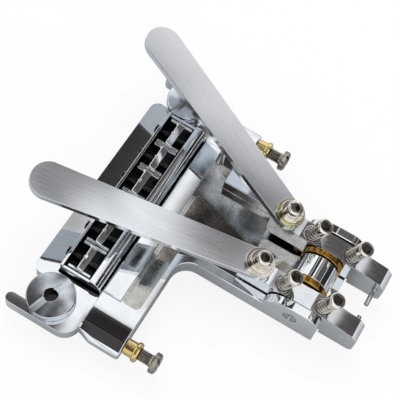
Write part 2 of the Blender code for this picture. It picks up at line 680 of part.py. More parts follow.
def make_position_screws(material):
    """Slotted screws along X, from behind each ear to the neck of its stud."""
    start = FORK_RADIUS + STACK_GAP
    head_low = CROSSBAR_REAR + POSITION_SCREW_BEHIND_EAR
    head_high = head_low + POSITION_HEAD_LENGTH
    profile = [
        (POSITION_SCREW_RADIUS - POSITION_TIP_CHAMFER, start),
        (POSITION_SCREW_RADIUS, start + POSITION_TIP_CHAMFER),
        (POSITION_SCREW_RADIUS, head_low), (POSITION_HEAD_RADIUS, head_low),
        (POSITION_HEAD_RADIUS, head_high),
    ]
    screw = turned(profile, ROUND_STEPS, ALONG_X)
    screw = cut(screw, box(head_high - POSITION_SLOT_DEPTH, 2 * head_high, -POSITION_SLOT_WIDTH / 2,
                           POSITION_SLOT_WIDTH / 2, -OUTER_Y, OUTER_Y))
    for label, side in SIDES.items():
        place = shift(0.0, side * STUD_Y, POSITION_SCREW_HEIGHT)
        if side < 0:
            finish(screw, "position_screw_" + label, material, place)
        else:
            copy_of(screw, "position_screw_" + label, place)


def make_lock_nuts(material):
    """Brass thumb nuts behind the ears: a plain barrel and a knurled collar."""
    bore = POSITION_SCREW_RADIUS + RUNNING_GAP
    length = LOCK_NUT_BARREL_LENGTH + LOCK_NUT_COLLAR_LENGTH
    profile = [
        (bore, 0.0), (LOCK_NUT_BARREL_RADIUS, 0.0), (LOCK_NUT_BARREL_RADIUS, LOCK_NUT_BARREL_LENGTH),
        (LOCK_NUT_COLLAR_RADIUS, LOCK_NUT_BARREL_LENGTH), (LOCK_NUT_COLLAR_RADIUS, length),
        (bore, length),
    ]
    nut = turned(profile, 2 * LOCK_NUT_KNURLS, ALONG_X, loop=True)
    rim = LOCK_NUT_COLLAR_RADIUS - LOCK_NUT_KNURL_DEPTH / 2
    points = list(nut.data.vertices)
    for index, point in enumerate(points):
        radius = math.hypot(point.co.y, point.co.z)
        if radius > rim and index % 2:
            scale = 1.0 - LOCK_NUT_KNURL_DEPTH / radius
            point.co.y *= scale
            point.co.z *= scale
    for label, side in SIDES.items():
        place = shift(CROSSBAR_REAR + SEAT_GAP, side * STUD_Y, POSITION_SCREW_HEIGHT)
        if side < 0:
            finish(nut, "lock_nut_" + label, material, place)
        else:
            copy_of(nut, "lock_nut_" + label, place)


def make_axle(material):
    body = rod(AXLE_RADIUS, -NECK_HALF_WIDTH, NECK_HALF_WIDTH, ROUND_STEPS, ALONG_Y)
    slot_end = -NECK_HALF_WIDTH + AXLE_SLOT_DEPTH
    body = cut(body, box(-AXLE_SLOT_WIDTH / 2, AXLE_SLOT_WIDTH / 2, -2 * NECK_HALF_WIDTH, slot_end,
                         -2 * AXLE_RADIUS, 2 * AXLE_RADIUS))
    return finish(body, "axle", material, shift(AXLE_X, LEVER_OFFSET, AXLE_HEIGHT))


def make_grub_screw(material):
    start = AXLE_RADIUS + RUNNING_GAP + STACK_GAP
    end = BOSS_RADIUS - GRUB_RECESS
    body = rod(GRUB_RADIUS, start, end, SMALL_STEPS, ALONG_X)
    body = cut(body, rod(GRUB_SOCKET_RADIUS, end - GRUB_SOCKET_DEPTH, 2 * end, 6, ALONG_X))
    return finish(body, "axle_grub_screw", material, shift(AXLE_X, LEVER_OFFSET, AXLE_HEIGHT))


def make_thrust_washers(material):
    bore = AXLE_RADIUS + RUNNING_GAP
    half = WASHER_THICKNESS / 2
    profile = [(bore, -half), (WASHER_RADIUS, -half), (WASHER_RADIUS, half), (bore, half)]
    ring = turned(profile, FINE_STEPS, ALONG_Y, loop=True)
    for label, side in SIDES.items():
        place = shift(AXLE_X, LEVER_OFFSET + side * (WASHER_INNER + half), AXLE_HEIGHT)
        if side < 0:
            finish(ring, "thrust_washer_" + label, material, place)
        else:
            copy_of(ring, "thrust_washer_" + label, place)


def tilted(angle, x, z):
    """A place on the block, turned so that its Z leans to the tail."""
    return shift(x, 0.0, z) @ Matrix.Rotation(angle, 4, "Y")


def adjuster_places():
    """Where each adjuster's axis meets the top of its block, and how far its head stands up."""
    front = tilted(ADJUSTER_TILT, -FRONT_ADJUSTER_AHEAD, BLOCK_TOP)
    rear = tilted(ADJUSTER_TILT, REAR_ADJUSTER_BEHIND, BLOCK_TOP - REAR_SLOPE_DROP)
    return {"front": (front, FRONT_ADJUSTER_STAND), "rear": (rear, REAR_ADJUSTER_STAND)}


def clamp_place():
    return tilted(CLAMP_TILT, -CLAMP_AHEAD_OF_AXLE, CLAMP_SEAT_HEIGHT)


def block_profile():
    """The lever block from the side, with the axle at the origin."""
    nose_top = BLOCK_TOP + (BLOCK_FRONT - CLAMP_SEAT_START) * math.tan(CLAMP_TILT)
    tail_top = BLOCK_TOP - (BLOCK_TAIL - BLOCK_SLOPE_START) * math.tan(BLOCK_SLOPE)
    nose = BLOCK_NOSE_CHAMFER
    chamfer = BLOCK_CHAMFER
    step = AXLE_FROM_TAIL + BLOCK_CLEAR_OF_TAIL
    return [
        (-BLOCK_FRONT + nose, -BLOCK_NOSE_DEPTH), (-BLOCK_NOSE_END, -BLOCK_NOSE_DEPTH),
        (-BLOCK_HUB_START, -BLOCK_HUB_DEPTH), (step, -BLOCK_HUB_DEPTH), (step, -BLOCK_TAIL_DEPTH),
        (BLOCK_TAIL - chamfer / 2, -BLOCK_TAIL_DEPTH), (BLOCK_TAIL, chamfer / 2 - BLOCK_TAIL_DEPTH),
        (BLOCK_TAIL, tail_top - chamfer), (BLOCK_TAIL - chamfer, tail_top + chamfer * math.tan(BLOCK_SLOPE)),
        (BLOCK_SLOPE_START, BLOCK_TOP), (-CLAMP_SEAT_START, BLOCK_TOP),
        (-BLOCK_FRONT, nose_top), (-BLOCK_FRONT, nose - BLOCK_NOSE_DEPTH),
    ]


def make_block(label, side, material, parent):
    half = BLOCK_WIDTH / 2
    body = side_prism(block_profile(), -half, half)
    body = cut(body, rod(BUSH_RADIUS + RUNNING_GAP, -2 * half, 2 * half, ROUND_STEPS, ALONG_Y))
    clamp_bore = rod(SCREW_BORE, -CLAMP_SCREW_BITE - SEAT_GAP, BLOCK_TOP, SMALL_STEPS, clamp_place())
    body = cut(body, clamp_bore)
    for place, stand in adjuster_places().values():
        body = cut(body, rod(SCREW_BORE, -2 * BLOCK_TAIL, stand, SMALL_STEPS, place))
        body = cut(body, rod(SPRING_POCKET_RADIUS, -SPRING_POCKET_DEPTH, stand, ROUND_STEPS, place))
    pin_bore = rod(PIN_RADIUS + RUNNING_GAP, -half - PIN_RADIUS, PIN_SEATED + STACK_GAP - half,
                   SMALL_STEPS, ALONG_Y)
    pin_bore.data.transform(Matrix.Scale(side, 4, (0.0, 1.0, 0.0)))
    pin_bore.data.transform(shift(PIN_BEHIND_AXLE, 0.0, -PIN_BELOW_AXLE))
    if side < 0:
        pin_bore.data.flip_normals()
    body = cut(body, pin_bore)
    finish(body, "lever_block_" + label, material, Matrix.Identity(4), parent)


def make_bush(label, material, parent):
    half = BLOCK_WIDTH / 2
    profile = [(BUSH_BORE, -half), (BUSH_RADIUS, -half), (BUSH_RADIUS, half), (BUSH_BORE, half)]
    ring = turned(profile, ROUND_STEPS, ALONG_Y, loop=True)
    finish(ring, "lever_bush_" + label, material, Matrix.Identity(4), parent)


def make_string_pin(label, side, material, parent):
    """The pin stands out of the inner face of the block, towards the middle."""
    half = BLOCK_WIDTH / 2
    low = -half - PIN_SHOWING[label]
    high = -half + PIN_SEATED
    edges = sorted((side * low, side * high))
    pin = rod(PIN_RADIUS, edges[0], edges[1], SMALL_STEPS, ALONG_Y)
    finish(pin, "string_pin_" + label, material, shift(PIN_BEHIND_AXLE, 0.0, -PIN_BELOW_AXLE), parent)


def cap_screw(head_low, tip):
    """A socket cap screw along Z, with the underside of its head at one height."""
    head_top = head_low + CAP_HEAD_LENGTH
    profile = [
        (CAP_SCREW_RADIUS - CAP_TIP_CHAMFER, tip), (CAP_SCREW_RADIUS, tip + CAP_TIP_CHAMFER),
        (CAP_SCREW_RADIUS, head_low), (CAP_HEAD_RADIUS, head_low),
        (CAP_HEAD_RADIUS, head_top - CAP_HEAD_CHAMFER), (CAP_HEAD_RADIUS - CAP_HEAD_CHAMFER, head_top),
    ]
    body = turned(profile, ROUND_STEPS)
    return cut(body, rod(CAP_SOCKET_RADIUS, head_top - CAP_SOCKET_DEPTH, 2 * head_top, 6))


def arm_outline():
    """A long paddle that widens from the clamp to its round tip, along -X."""
    tip_x = -(ARM_LENGTH - ARM_ROOT_RADIUS - ARM_TIP_RADIUS)
    half = arc(0.0, 0.0, ARM_ROOT_RADIUS, 0.0, 94.0, 2 * FILLET_STEPS)
    half.append((tip_x / 2, ARM_MIDDLE_HALF_WIDTH))
    half += arc(tip_x, 0.0, ARM_TIP_RADIUS, 92.0, 176.0, 2 * FILLET_STEPS)
    return mirrored(half[1:])


def make_arm(label, side, material, parent):
    """The palm arm, a flat plate. Its origin is on the clamp's axis, on its lower face."""
    body = prism(arm_outline(), 0.0, ARM_THICKNESS)
    bevel = body.modifiers.new("rounded edges", "BEVEL")
    bevel.width = ARM_EDGE
    bevel.segments = 1
    bevel.limit_method = "ANGLE"
    bevel.angle_limit = math.radians(60.0)
    body = cut(body, rod(SCREW_BORE, -ARM_THICKNESS, 2 * ARM_THICKNESS, SMALL_STEPS))
    splay = ARM_SPLAY_LEFT if side < 0 else ARM_SPLAY_RIGHT
    place = clamp_place() @ shift(0.0, 0.0, SEAT_GAP) @ Matrix.Rotation(-side * splay, 4, "Z")
    finish(body, "lever_arm_" + label, material, place, parent)


def ring_washer(radius, thickness):
    bore = SCREW_BORE
    profile = [(bore, 0.0), (radius, 0.0), (radius, thickness), (bore, thickness)]
    return turned(profile, ROUND_STEPS, loop=True)


def make_clamp(label, materials, parent):
    """Flat washer, spring washer and cap screw, stacked on the arm."""
    height = SEAT_GAP + ARM_THICKNESS + STACK_GAP
    flat = ring_washer(FLAT_WASHER_RADIUS, FLAT_WASHER_THICKNESS)
    finish(flat, "clamp_washer_" + label, materials["zinc"], clamp_place() @ shift(0.0, 0.0, height), parent)
    height += FLAT_WASHER_THICKNESS + STACK_GAP
    ring = ring_washer(SPRING_WASHER_RADIUS, SPRING_WASHER_THICKNESS)
    finish(ring, "clamp_spring_washer_" + label, materials["nickel"],
           clamp_place() @ shift(0.0, 0.0, height), parent)
    height += SPRING_WASHER_THICKNESS + STACK_GAP
    screw = cap_screw(height, -CLAMP_SCREW_BITE)
    finish(screw, "clamp_screw_" + label, materials["nickel"], clamp_place(), parent)


def spring_points(length):
    """A coil about Z with a short straight end, along Z, at its foot and its head."""
    straight = 2 * SPRING_WIRE_RADIUS
    turns = int((length - 2 * straight) / SPRING_PITCH)
    rise = length - 2 * straight
    count = turns * SPRING_POINTS
    points = [Vector((SPRING_COIL_RADIUS, 0.0, 0.0))]
    for step in range(count + 1):
        angle = 2 * math.pi * step / SPRING_POINTS
        height = straight + rise * step / count
        points.append(Vector((SPRING_COIL_RADIUS * math.cos(angle),
                              SPRING_COIL_RADIUS * math.sin(angle), height)))
    points.append(Vector((SPRING_COIL_RADIUS, 0.0, length)))
    return points


def least_gap(points):
    """The smallest clear gap between two neighbouring curls, from wire to wire."""
    least = math.inf
    for first, start in enumerate(points):
        for end in points[first + SPRING_POINTS // 2:]:
            least = min(least, (end - start).length)
    return least - 2 * SPRING_WIRE_RADIUS


def make_spring(name, length, material, place, parent):
    curve = bpy.data.curves.new(name, "CURVE")
    curve.dimensions = "3D"
    curve.bevel_depth = SPRING_WIRE_RADIUS
    curve.bevel_resolution = 1
    curve.use_fill_caps = True
    points = spring_points(length)
    line = curve.splines.new("POLY")
    line.points.add(len(points) - 1)
    for target, point in zip(line.points, points):
        target.co = (*point, 1.0)
    curve.materials.append(material)
    item = bpy.data.objects.new(name, curve)
    bpy.context.scene.collection.objects.link(item)
    item.parent = parent
    item.matrix_local = place
    gap = least_gap(points)
    print(name, "least gap between curls", round(gap * 1000, 3), "mm, over", SPRING_LEAST_GAP * 1000)


def make_adjusters(label, materials, parent):
    """Cap screws through the block, each under a coil spring that keeps it from turning."""
    floor_below = AXLE_HEIGHT - FLOOR
    gaps = {"front": FRONT_ADJUSTER_TIP_GAP, "rear": SEAT_GAP}
    for end, (place, stand) in adjuster_places().items():
        height = place.translation.z + floor_below - gaps[end]
        lean = CAP_SCREW_RADIUS * math.sin(ADJUSTER_TILT)
        tip = -(height - lean) / math.cos(ADJUSTER_TILT)
        screw = cap_screw(stand, tip)
        finish(screw, "adjuster_" + end + "_" + label, materials["nickel"], place, parent)
        foot = STACK_GAP - SPRING_POCKET_DEPTH
        length = stand - STACK_GAP - foot
        make_spring("adjuster_spring_" + end + "_" + label, length, materials["spring"],
                    place @ shift(0.0, 0.0, foot), parent)


def make_lever(label, side, materials):
    """All that turns with one lever, under an empty on the axle."""
    turn = pivot("lever_pivot_" + label, shift(AXLE_X, LEVER_OFFSET + side * BLOCK_Y, AXLE_HEIGHT))
    make_block(label, side, materials["aluminium"], turn)
    make_bush(label, materials["brass"], turn)
    make_string_pin(label, side, materials["steel"], turn)
    make_arm(label, side, materials["brushed"], turn)
    make_clamp(label, materials, turn)
    make_adjusters(label, materials, turn)


def main():
    for item in list(bpy.data.objects):
        bpy.data.objects.remove(item, do_unlink=True)
    materials = {
        "chrome": make_material("chrome", (0.62, 0.64, 0.66), 1.0, 0.06),
        "dark chrome": make_material("dark chrome", (0.42, 0.43, 0.45), 1.0, 0.12),
        "nickel": make_material("nickel", (0.66, 0.63, 0.58), 1.0, 0.25),
        "zinc": make_material("zinc", (0.60, 0.58, 0.42), 1.0, 0.28),
        "brass": make_material("brass", (0.80, 0.56, 0.24), 1.0, 0.22),
        "steel": make_material("steel", (0.50, 0.50, 0.50), 1.0, 0.30),
        "spring": make_material("spring steel", (0.55, 0.54, 0.52), 1.0, 0.28),
        "brushed": make_material("brushed steel", (0.60, 0.62, 0.65), 1.0, 0.38),
        "aluminium": make_material("aluminium", (0.70, 0.71, 0.73), 1.0, 0.20),
    }
    make_base(materials["chrome"])
    make_rail(materials["chrome"])
    make_rail_screws(materials["steel"])
    make_saddles(materials["chrome"])
    make_intonation_screws(materials["dark chrome"])
    make_studs(materials["chrome"])
    make_position_screws(materials["nickel"])
    make_lock_nuts(materials["brass"])
    make_axle(materials["steel"])
    make_grub_screw(materials["steel"])
    make_thrust_washers(materials["brass"])
    for label, side in SIDES.items():
        make_lever(label, side, materials)
    bpy.context.view_layer.update()


main()
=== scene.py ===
# %% [markdown]
# # A guitar string bender, dressed for its portrait
#
# The object is a chromed bridge for an electric guitar. Two flat palm levers turn two blocks at
# its tail, and each block pulls one string up in pitch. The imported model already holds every
# piece at its true size and place, and this lesson gives the pieces their fine forms and finishes.

# %% Load the frame
import json
import math
import bpy
from mathutils import Matrix, Vector

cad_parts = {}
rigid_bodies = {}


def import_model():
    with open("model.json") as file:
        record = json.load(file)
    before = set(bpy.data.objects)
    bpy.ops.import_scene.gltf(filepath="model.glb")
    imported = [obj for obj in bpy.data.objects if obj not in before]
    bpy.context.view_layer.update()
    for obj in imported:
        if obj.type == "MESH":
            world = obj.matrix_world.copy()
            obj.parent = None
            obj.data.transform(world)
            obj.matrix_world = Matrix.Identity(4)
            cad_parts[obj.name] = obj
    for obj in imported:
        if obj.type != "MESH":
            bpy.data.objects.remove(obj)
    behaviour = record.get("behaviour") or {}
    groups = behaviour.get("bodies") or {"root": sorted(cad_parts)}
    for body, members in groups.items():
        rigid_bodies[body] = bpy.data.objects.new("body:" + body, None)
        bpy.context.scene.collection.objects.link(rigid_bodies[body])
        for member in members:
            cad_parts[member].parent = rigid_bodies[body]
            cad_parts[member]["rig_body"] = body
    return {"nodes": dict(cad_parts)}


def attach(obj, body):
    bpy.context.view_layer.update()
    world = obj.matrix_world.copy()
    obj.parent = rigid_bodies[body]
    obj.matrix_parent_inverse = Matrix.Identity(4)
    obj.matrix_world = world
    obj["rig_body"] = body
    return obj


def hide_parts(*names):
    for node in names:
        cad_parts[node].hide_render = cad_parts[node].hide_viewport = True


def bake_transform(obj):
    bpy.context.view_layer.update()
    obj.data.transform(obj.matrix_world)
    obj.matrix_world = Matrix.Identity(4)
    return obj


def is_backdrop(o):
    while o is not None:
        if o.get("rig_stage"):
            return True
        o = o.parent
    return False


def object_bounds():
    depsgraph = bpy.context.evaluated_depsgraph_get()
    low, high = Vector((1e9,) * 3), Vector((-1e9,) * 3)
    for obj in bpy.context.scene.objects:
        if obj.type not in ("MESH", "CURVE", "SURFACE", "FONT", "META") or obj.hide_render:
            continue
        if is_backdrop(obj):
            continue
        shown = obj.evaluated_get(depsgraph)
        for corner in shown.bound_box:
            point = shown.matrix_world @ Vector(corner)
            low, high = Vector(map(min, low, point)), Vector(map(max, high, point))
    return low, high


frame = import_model()
nodes = frame["nodes"]
cad_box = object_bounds()

# %% [markdown]
# The photograph was taken from high above the near side, with the camera turned a little. A long
# lens keeps the sides of the casting almost parallel. The place and the angles below come from
# matching corners of the casting, so the render can be laid over the photograph.

# %% Place the camera
CAMERA_PLACE = Vector((0.0675, -0.1353, 0.3045))
CAMERA_AZIMUTH = math.radians(-72.55051)
CAMERA_ELEVATION = math.radians(62.69296)
CAMERA_ROLL = math.radians(14.22978)
CAMERA_LENS = 94.58

level = math.cos(CAMERA_ELEVATION)
away = Vector((level * math.cos(CAMERA_AZIMUTH), level * math.sin(CAMERA_AZIMUTH),
               math.sin(CAMERA_ELEVATION)))
right = (-away).cross(Vector((0.0, 0.0, 1.0))).normalized()
upward = right.cross(-away)
turned_right = math.cos(CAMERA_ROLL) * right + math.sin(CAMERA_ROLL) * upward
turned_up = math.cos(CAMERA_ROLL) * upward - math.sin(CAMERA_ROLL) * right

camera = bpy.data.objects.new("camera", bpy.data.cameras.new("camera"))
bpy.context.scene.collection.objects.link(camera)
axes = Matrix((turned_right, turned_up, away)).transposed().to_4x4()
camera.matrix_world = Matrix.Translation(CAMERA_PLACE) @ axes
camera.data.sensor_width = 36.0
camera.data.lens = CAMERA_LENS
camera.data.clip_start = 0.01
bpy.context.scene.camera = camera
bpy.context.scene.view_settings.view_transform = "Standard"
print("lens", CAMERA_LENS, "mm, camera", round(CAMERA_PLACE.length, 3), "m from the origin")

# %% [markdown]
# ## Finishes
#
# Colours are written as the hex values of a paint chart. Blender's shaders count in linear
# light, so one function turns a hex value into what a socket expects. A second function adds a
# node, sets it and links it, so that a material reads from top to bottom like a recipe.

# %% Colours and nodes
def linear(code):
    """An sRGB hex colour as linear red, green, blue and alpha."""
    values = []
    for start in (0, 2, 4):
        share = int(code[start:start + 2], 16) / 255
        values.append(share / 12.92 if share <= 0.04045 else ((share + 0.055) / 1.055) ** 2.4)
    return (*values, 1.0)


def add(tree, kind, sockets=None, **options):
    """Add one node, set its options, then fill its sockets with values or links."""
    node = tree.nodes.new(kind)
    for option, value in options.items():
        setattr(node, option, value)
    for socket, value in (sockets or {}).items():
        if isinstance(value, bpy.types.NodeSocket):
            tree.links.new(value, node.inputs[socket])
        else:
            node.inputs[socket].default_value = value
    return node


print("middle grey in linear light:", round(linear("808080")[0], 3))

# %% [markdown]
# Every piece is metal, and metals differ less in colour than in how their skin was made. Plate
# that was buffed is smooth, with long low waves. Turned, drawn or brushed metal keeps fine lines
# in the direction of the tool. One function makes them all: it stretches a noise to the size of
# the marks in millimetres, adds a wider noise for uneven patches, and lets the two drive colour
# and roughness. The fine noise alone gives a shallow bump.

# %% A metal with the marks of its making
MM = 0.001


def metal(name, light, dark, roughness, marks, depth, turn=(0.0, 0.0, 0.0), anisotropic=0.0, patch=9.0):
    """Marks is the size of one mark along X, Y and Z in mm, and patch that of the wide patches.

    Depth is in thousandths of a millimetre, and roughness is its lowest and highest value."""
    material = bpy.data.materials.new(name)
    material.use_nodes = True
    tree = material.node_tree
    shader = tree.nodes["Principled BSDF"]
    shader.inputs["Metallic"].default_value = 1.0
    shader.inputs["Anisotropic"].default_value = anisotropic
    place = add(tree, "ShaderNodeTexCoord").outputs["Object"]
    sized = add(tree, "ShaderNodeMapping", {
        "Vector": place, "Rotation": turn, "Scale": [size * MM for size in marks],
    }, vector_type="TEXTURE")
    fine = add(tree, "ShaderNodeTexNoise", {
        "Vector": sized.outputs["Vector"], "Scale": 1.0, "Detail": 3.0, "Roughness": 0.6,
    })
    wide = add(tree, "ShaderNodeTexNoise", {
        "Vector": place, "Scale": 1.0 / (patch * MM), "Detail": 2.0, "Roughness": 0.5,
    })
    mixed = add(tree, "ShaderNodeMath", {
        0: fine.outputs["Fac"], 1: wide.outputs["Fac"],
    }, operation="ADD")
    shade = add(tree, "ShaderNodeMapRange", {
        "Value": mixed.outputs["Value"], "From Min": 0.75, "From Max": 1.25, "To Min": 0.0, "To Max": 1.0,
    })
    colour = add(tree, "ShaderNodeMix", {
        0: shade.outputs["Result"], 6: linear(dark), 7: linear(light),
    }, data_type="RGBA")
    gloss = add(tree, "ShaderNodeMapRange", {
        "Value": mixed.outputs["Value"], "From Min": 0.7, "From Max": 1.3,
        "To Min": roughness[0], "To Max": roughness[1],
    })
    bump = add(tree, "ShaderNodeBump", {
        "Height": fine.outputs["Fac"], "Strength": 1.0, "Distance": depth * MM * MM,
    })
    tree.links.new(colour.outputs[2], shader.inputs["Base Color"])
    tree.links.new(gloss.outputs["Result"], shader.inputs["Roughness"])
    tree.links.new(bump.outputs["Normal"], shader.inputs["Normal"])
    return material


print("marks are given in mm, and one mm is", MM, "m")

# %% [markdown]
# The casting and its rail are zinc alloy, buffed, then plated with nickel and chromium. Chrome is a slightly
# blue mirror. Buffing by hand leaves waves some 5 mm long, which bend reflections. The wheel can't reach the
# floor of the trough, so its plate keeps a rougher, finely grained skin, and its darker colour is painted
# shade. The saddles are tumbled in a barrel before plating, which leaves small dents. The stud heads are
# turned, and the plate over them is more satin. The floor of the saddle tray is painted near black, which is
# painted shade between the saddles.

# %% Chrome plate
chrome = metal("buffed chrome plate", "eceff2", "dfe3e7", (0.03, 0.05), (5.0, 5.0, 5.0), 3.0)
# The trough's finish is rougher, and its darker colour is painted shade in the recess.
shaded_chrome = metal(
    "unbuffed chrome with painted shade in the trough", "d6d4d1", "9d9a95", (0.07, 0.14), (0.5, 0.5, 0.5), 3.0, patch=5.0,
)
saddle_chrome = metal(
    "barrelled chrome on the saddles", "f4f6f8", "dfe1e4", (0.05, 0.12), (1.2, 1.2, 1.2), 3.0,
)
turned_chrome = metal("chrome over turned heads", "dbe1e8", "b9c0c9", (0.11, 0.19), (4.0, 4.0, 4.0), 2.0)
# Painted shade: the floor of the tray is made near black, where shade falls between the saddles.
tray_shade = metal("painted shade on the floor of the tray", "2c2b2d", "1b1a1c", (0.25, 0.35), (0.4, 0.4, 0.4), 4.0)
for finish in (chrome, shaded_chrome, saddle_chrome, turned_chrome, tray_shade):
    print(finish.name)

# %% [markdown]
# The palm levers are stainless steel plate, brushed on a belt along their length. The real lines
# are about 0.03 mm wide, too fine for the picture, so they are drawn 0.1 mm wide and 18 mm
# long. The two levers spread apart, so each has the pattern turned to its own direction. Brushed
# lines also stretch every highlight across them, which is what the anisotropic value does.

# %% Brushed stainless steel
SPREAD = {"left": math.radians(14.0), "right": math.radians(-21.5)}
SEAT_TILT = math.radians(11.0)

brushed = {}
for side, angle in SPREAD.items():
    brushed[side] = metal(
        "brushed stainless steel " + side, "f0f4f8", "d0d6dc", (0.12, 0.18), (18.0, 0.10, 0.10), 0.8,
        turn=(0.0, SEAT_TILT, angle), anisotropic=0.35, patch=30.0,
    )
print("brushed along", [round(math.degrees(angle), 1) for angle in SPREAD.values()], "degrees")

# %% [markdown]
# The small parts are turned from bar. Nickel plate is a warmer grey than chrome. The faces deep in a socket
# are painted dark, which is painted shade. The brass thumb nuts are bare and bright, while oil has browned
# the thrust washers. One flat washer is zinc with a pale yellow passivation. The bushes are bronze pressed
# from powder, which leaves a matt, speckled skin.

# %% Nickel, zinc, brass and bronze
nickel = metal("nickel plate on steel screws", "efece5", "d6d1c8", (0.04, 0.10), (1.5, 1.5, 0.2), 1.5)
# Painted shade: a dark colour for the faces deep in a socket, where shade falls.
socket_shade = metal(
    "painted shade deep in the sockets", "8d8a85", "45433f", (0.06, 0.14), (0.5, 0.5, 0.5), 3.0,
)
zinc = metal("yellow passivated zinc", "d9d5b4", "b5af86", (0.10, 0.18), (1.0, 1.0, 1.0), 2.0, patch=2.5)
brass = metal("turned brass", "f3dfa9", "d2b673", (0.12, 0.20), (2.0, 2.0, 0.15), 2.0)
oiled_brass = metal(
    "oiled brass of the thrust washers", "c79a4b", "8a642a", (0.14, 0.24), (2.0, 0.15, 2.0), 2.0, patch=3.0,
)
bearing = metal("sintered bronze bush", "b98a52", "94693a", (0.35, 0.5), (0.3, 0.3, 0.3), 6.0)
print(len(bpy.data.materials), "materials so far")

# %% [markdown]
# The lever blocks are aluminium bar, polished along their length to a cold bright grey. The
# steels that carry no plate are duller: the axle and the pins are ground, the springs are drawn
# wire, and the position screws have darkened with oil. The intonation screws are blackened, which
# leaves hardly any colour and a soft gloss.

# %% Aluminium and plain steels
block_metal = metal(
    "polished aluminium of the lever blocks", "dfe2e5", "d0d3d7", (0.04, 0.08), (4.0, 0.8, 0.8), 0.8,
)
axle_steel = metal("ground steel of the axle", "c4c5c7", "a6a7aa", (0.12, 0.20), (0.2, 3.0, 0.2), 2.0)
spring_wire = metal("drawn spring wire", "c9c6bf", "a5a29b", (0.14, 0.24), (0.5, 0.5, 0.2), 2.0)
screw_steel = metal(
    "oiled steel of the position screws", "b5b0a8", "7f7a72", (0.10, 0.20), (0.3, 1.5, 1.5), 2.0, patch=3.0,
)
# The same dark finish is also painted shade on the walls of the hole in each stud head.
black_steel_and_hole_shade = metal("blackened steel and painted shade in stud holes", "4a4a4c", "2c2c2e", (0.16, 0.28), (0.4, 0.4, 0.4), 3.0)
print(len(bpy.data.materials), "materials in the file")

# %% [markdown]
# ## The bench
#
# Screws and nuts are a few millimetres across, and some tools round off at such sizes when the unit is a
# metre. So each model is made at the origin with one unit for a millimetre, and copied down to metres at the
# place that the frame gives. Repeated parts are modelled once this way. A piece rides on a body of the
# frame, or, when a far body is given, stays where it is put on no body.

# %% Bench tools
def lone(item):
    """Select one piece and nothing else, because an operator acts on all that is selected."""
    bpy.ops.object.select_all(action="DESELECT")
    item.select_set(True)
    bpy.context.view_layer.objects.active = item


def apply(item, kind, **settings):
    """Add a modifier, set it, and make its result the mesh."""
    lone(item)
    modifier = item.modifiers.new("step", kind)
    for setting, value in settings.items():
        setattr(modifier, setting, value)
    bpy.ops.object.modifier_apply(modifier=modifier.name)


def put(model, node, place, finish, second=None, far_body=None):
    """Copy a bench model, with a mesh of its own, to the place of a CAD node.

    Marked faces take the second finish. With a far body, the piece is only baked in place and rides on no
    body."""
    mesh = model.data.copy()
    mesh.transform(place @ Matrix.Scale(MM, 4))
    item = bpy.data.objects.new(node + "_fine", mesh)
    bpy.context.scene.collection.objects.link(item)
    mesh.materials.append(finish)
    if second:
        mesh.materials.append(second)
    if far_body:
        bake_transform(item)
    else:
        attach(item, nodes[node]["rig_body"])
    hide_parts(node)
    return item


def clear_bench(*models):
    """Throw the models away once their copies are in place."""
    for model in models:
        bpy.data.objects.remove(model)


def shift(x, y, z):
    """A move in the frame, given in millimetres."""
    return Matrix.Translation((x * MM, y * MM, z * MM))


UNMOVED = Matrix.Identity(4)
ALONG_X = Matrix.Rotation(math.radians(90.0), 4, "Y")
ALONG_Y = Matrix.Rotation(math.radians(-90.0), 4, "X")
print("bench ready, one unit is", MM, "m")

# %% [markdown]
# A solid from CAD has perfectly sharp edges, and no real edge is. Where the solid already has the
# right form, its copy is brought to the bench, its loose triangles are merged into flat faces, and
# its sharp edges are rounded by a Bevel modifier that reads a weight from each edge. Weighted
# normals then keep the broad faces flat, so that a mirror finish shows straight reflections.

# %% Copies with rounded edges
SHARP = 35.0


def bench_copy(node):
    """Bring a CAD node to the bench, with its loose triangles merged into flat faces."""
    mesh = nodes[node].data.copy()
    mesh.materials.clear()
    mesh.transform(Matrix.Scale(1.0 / MM, 4))
    item = bpy.data.objects.new("bench " + node, mesh)
    bpy.context.scene.collection.objects.link(item)
    lone(item)
    bpy.ops.object.mode_set(mode="EDIT")
    bpy.ops.mesh.select_all(action="SELECT")
    bpy.ops.mesh.remove_doubles(threshold=0.002)
    bpy.ops.mesh.dissolve_limited(angle_limit=math.radians(0.5))
    bpy.ops.object.mode_set(mode="OBJECT")
    return item


def ease(item, width, segments=2, angle=SHARP, least=0.0, above=-100.0, lip=None, lip_width=0.0):
    """Round the sharp edges over a least length that rise above a height, and keep flat faces flat.

    A lip is a test for the edges that get a wider rounding, and lip_width is its width."""
    mesh = item.data
    faces = {}
    for face in mesh.polygons:
        for key in face.edge_keys:
            faces.setdefault(key, []).append(face.normal)
    weights = mesh.attributes.new("bevel_weight_edge", "FLOAT", "EDGE")
    for edge, weight in zip(mesh.edges, weights.data):
        sides = faces[edge.key]
        start, end = (mesh.vertices[index].co for index in edge.vertices)
        sharp = len(sides) == 2 and math.degrees(sides[0].angle(sides[1], 0.0)) > angle
        if not sharp or (end - start).length <= least or max(start.z, end.z) <= above:
            weight.value = 0.0
        elif lip is None or lip(start, end):
            weight.value = 1.0
        else:
            weight.value = width / lip_width
    apply(item, "BEVEL", limit_method="WEIGHT", width=lip_width or width, segments=segments,
          use_clamp_overlap=False, miter_outer="MITER_ARC")
    bpy.ops.object.shade_smooth_by_angle(angle=math.radians(angle))
    apply(item, "WEIGHTED_NORMAL", keep_sharp=True, weight=80)


def mark(item, region):
    """Mark the faces in a region of the bench for the second finish, and count them."""
    count = 0
    for face in item.data.polygons:
        if all(low < place < high for place, (low, high) in zip(face.center, region)):
            face.material_index = 1
            count += 1
    return count


print("an edge is sharp over", SHARP, "degrees between its faces")
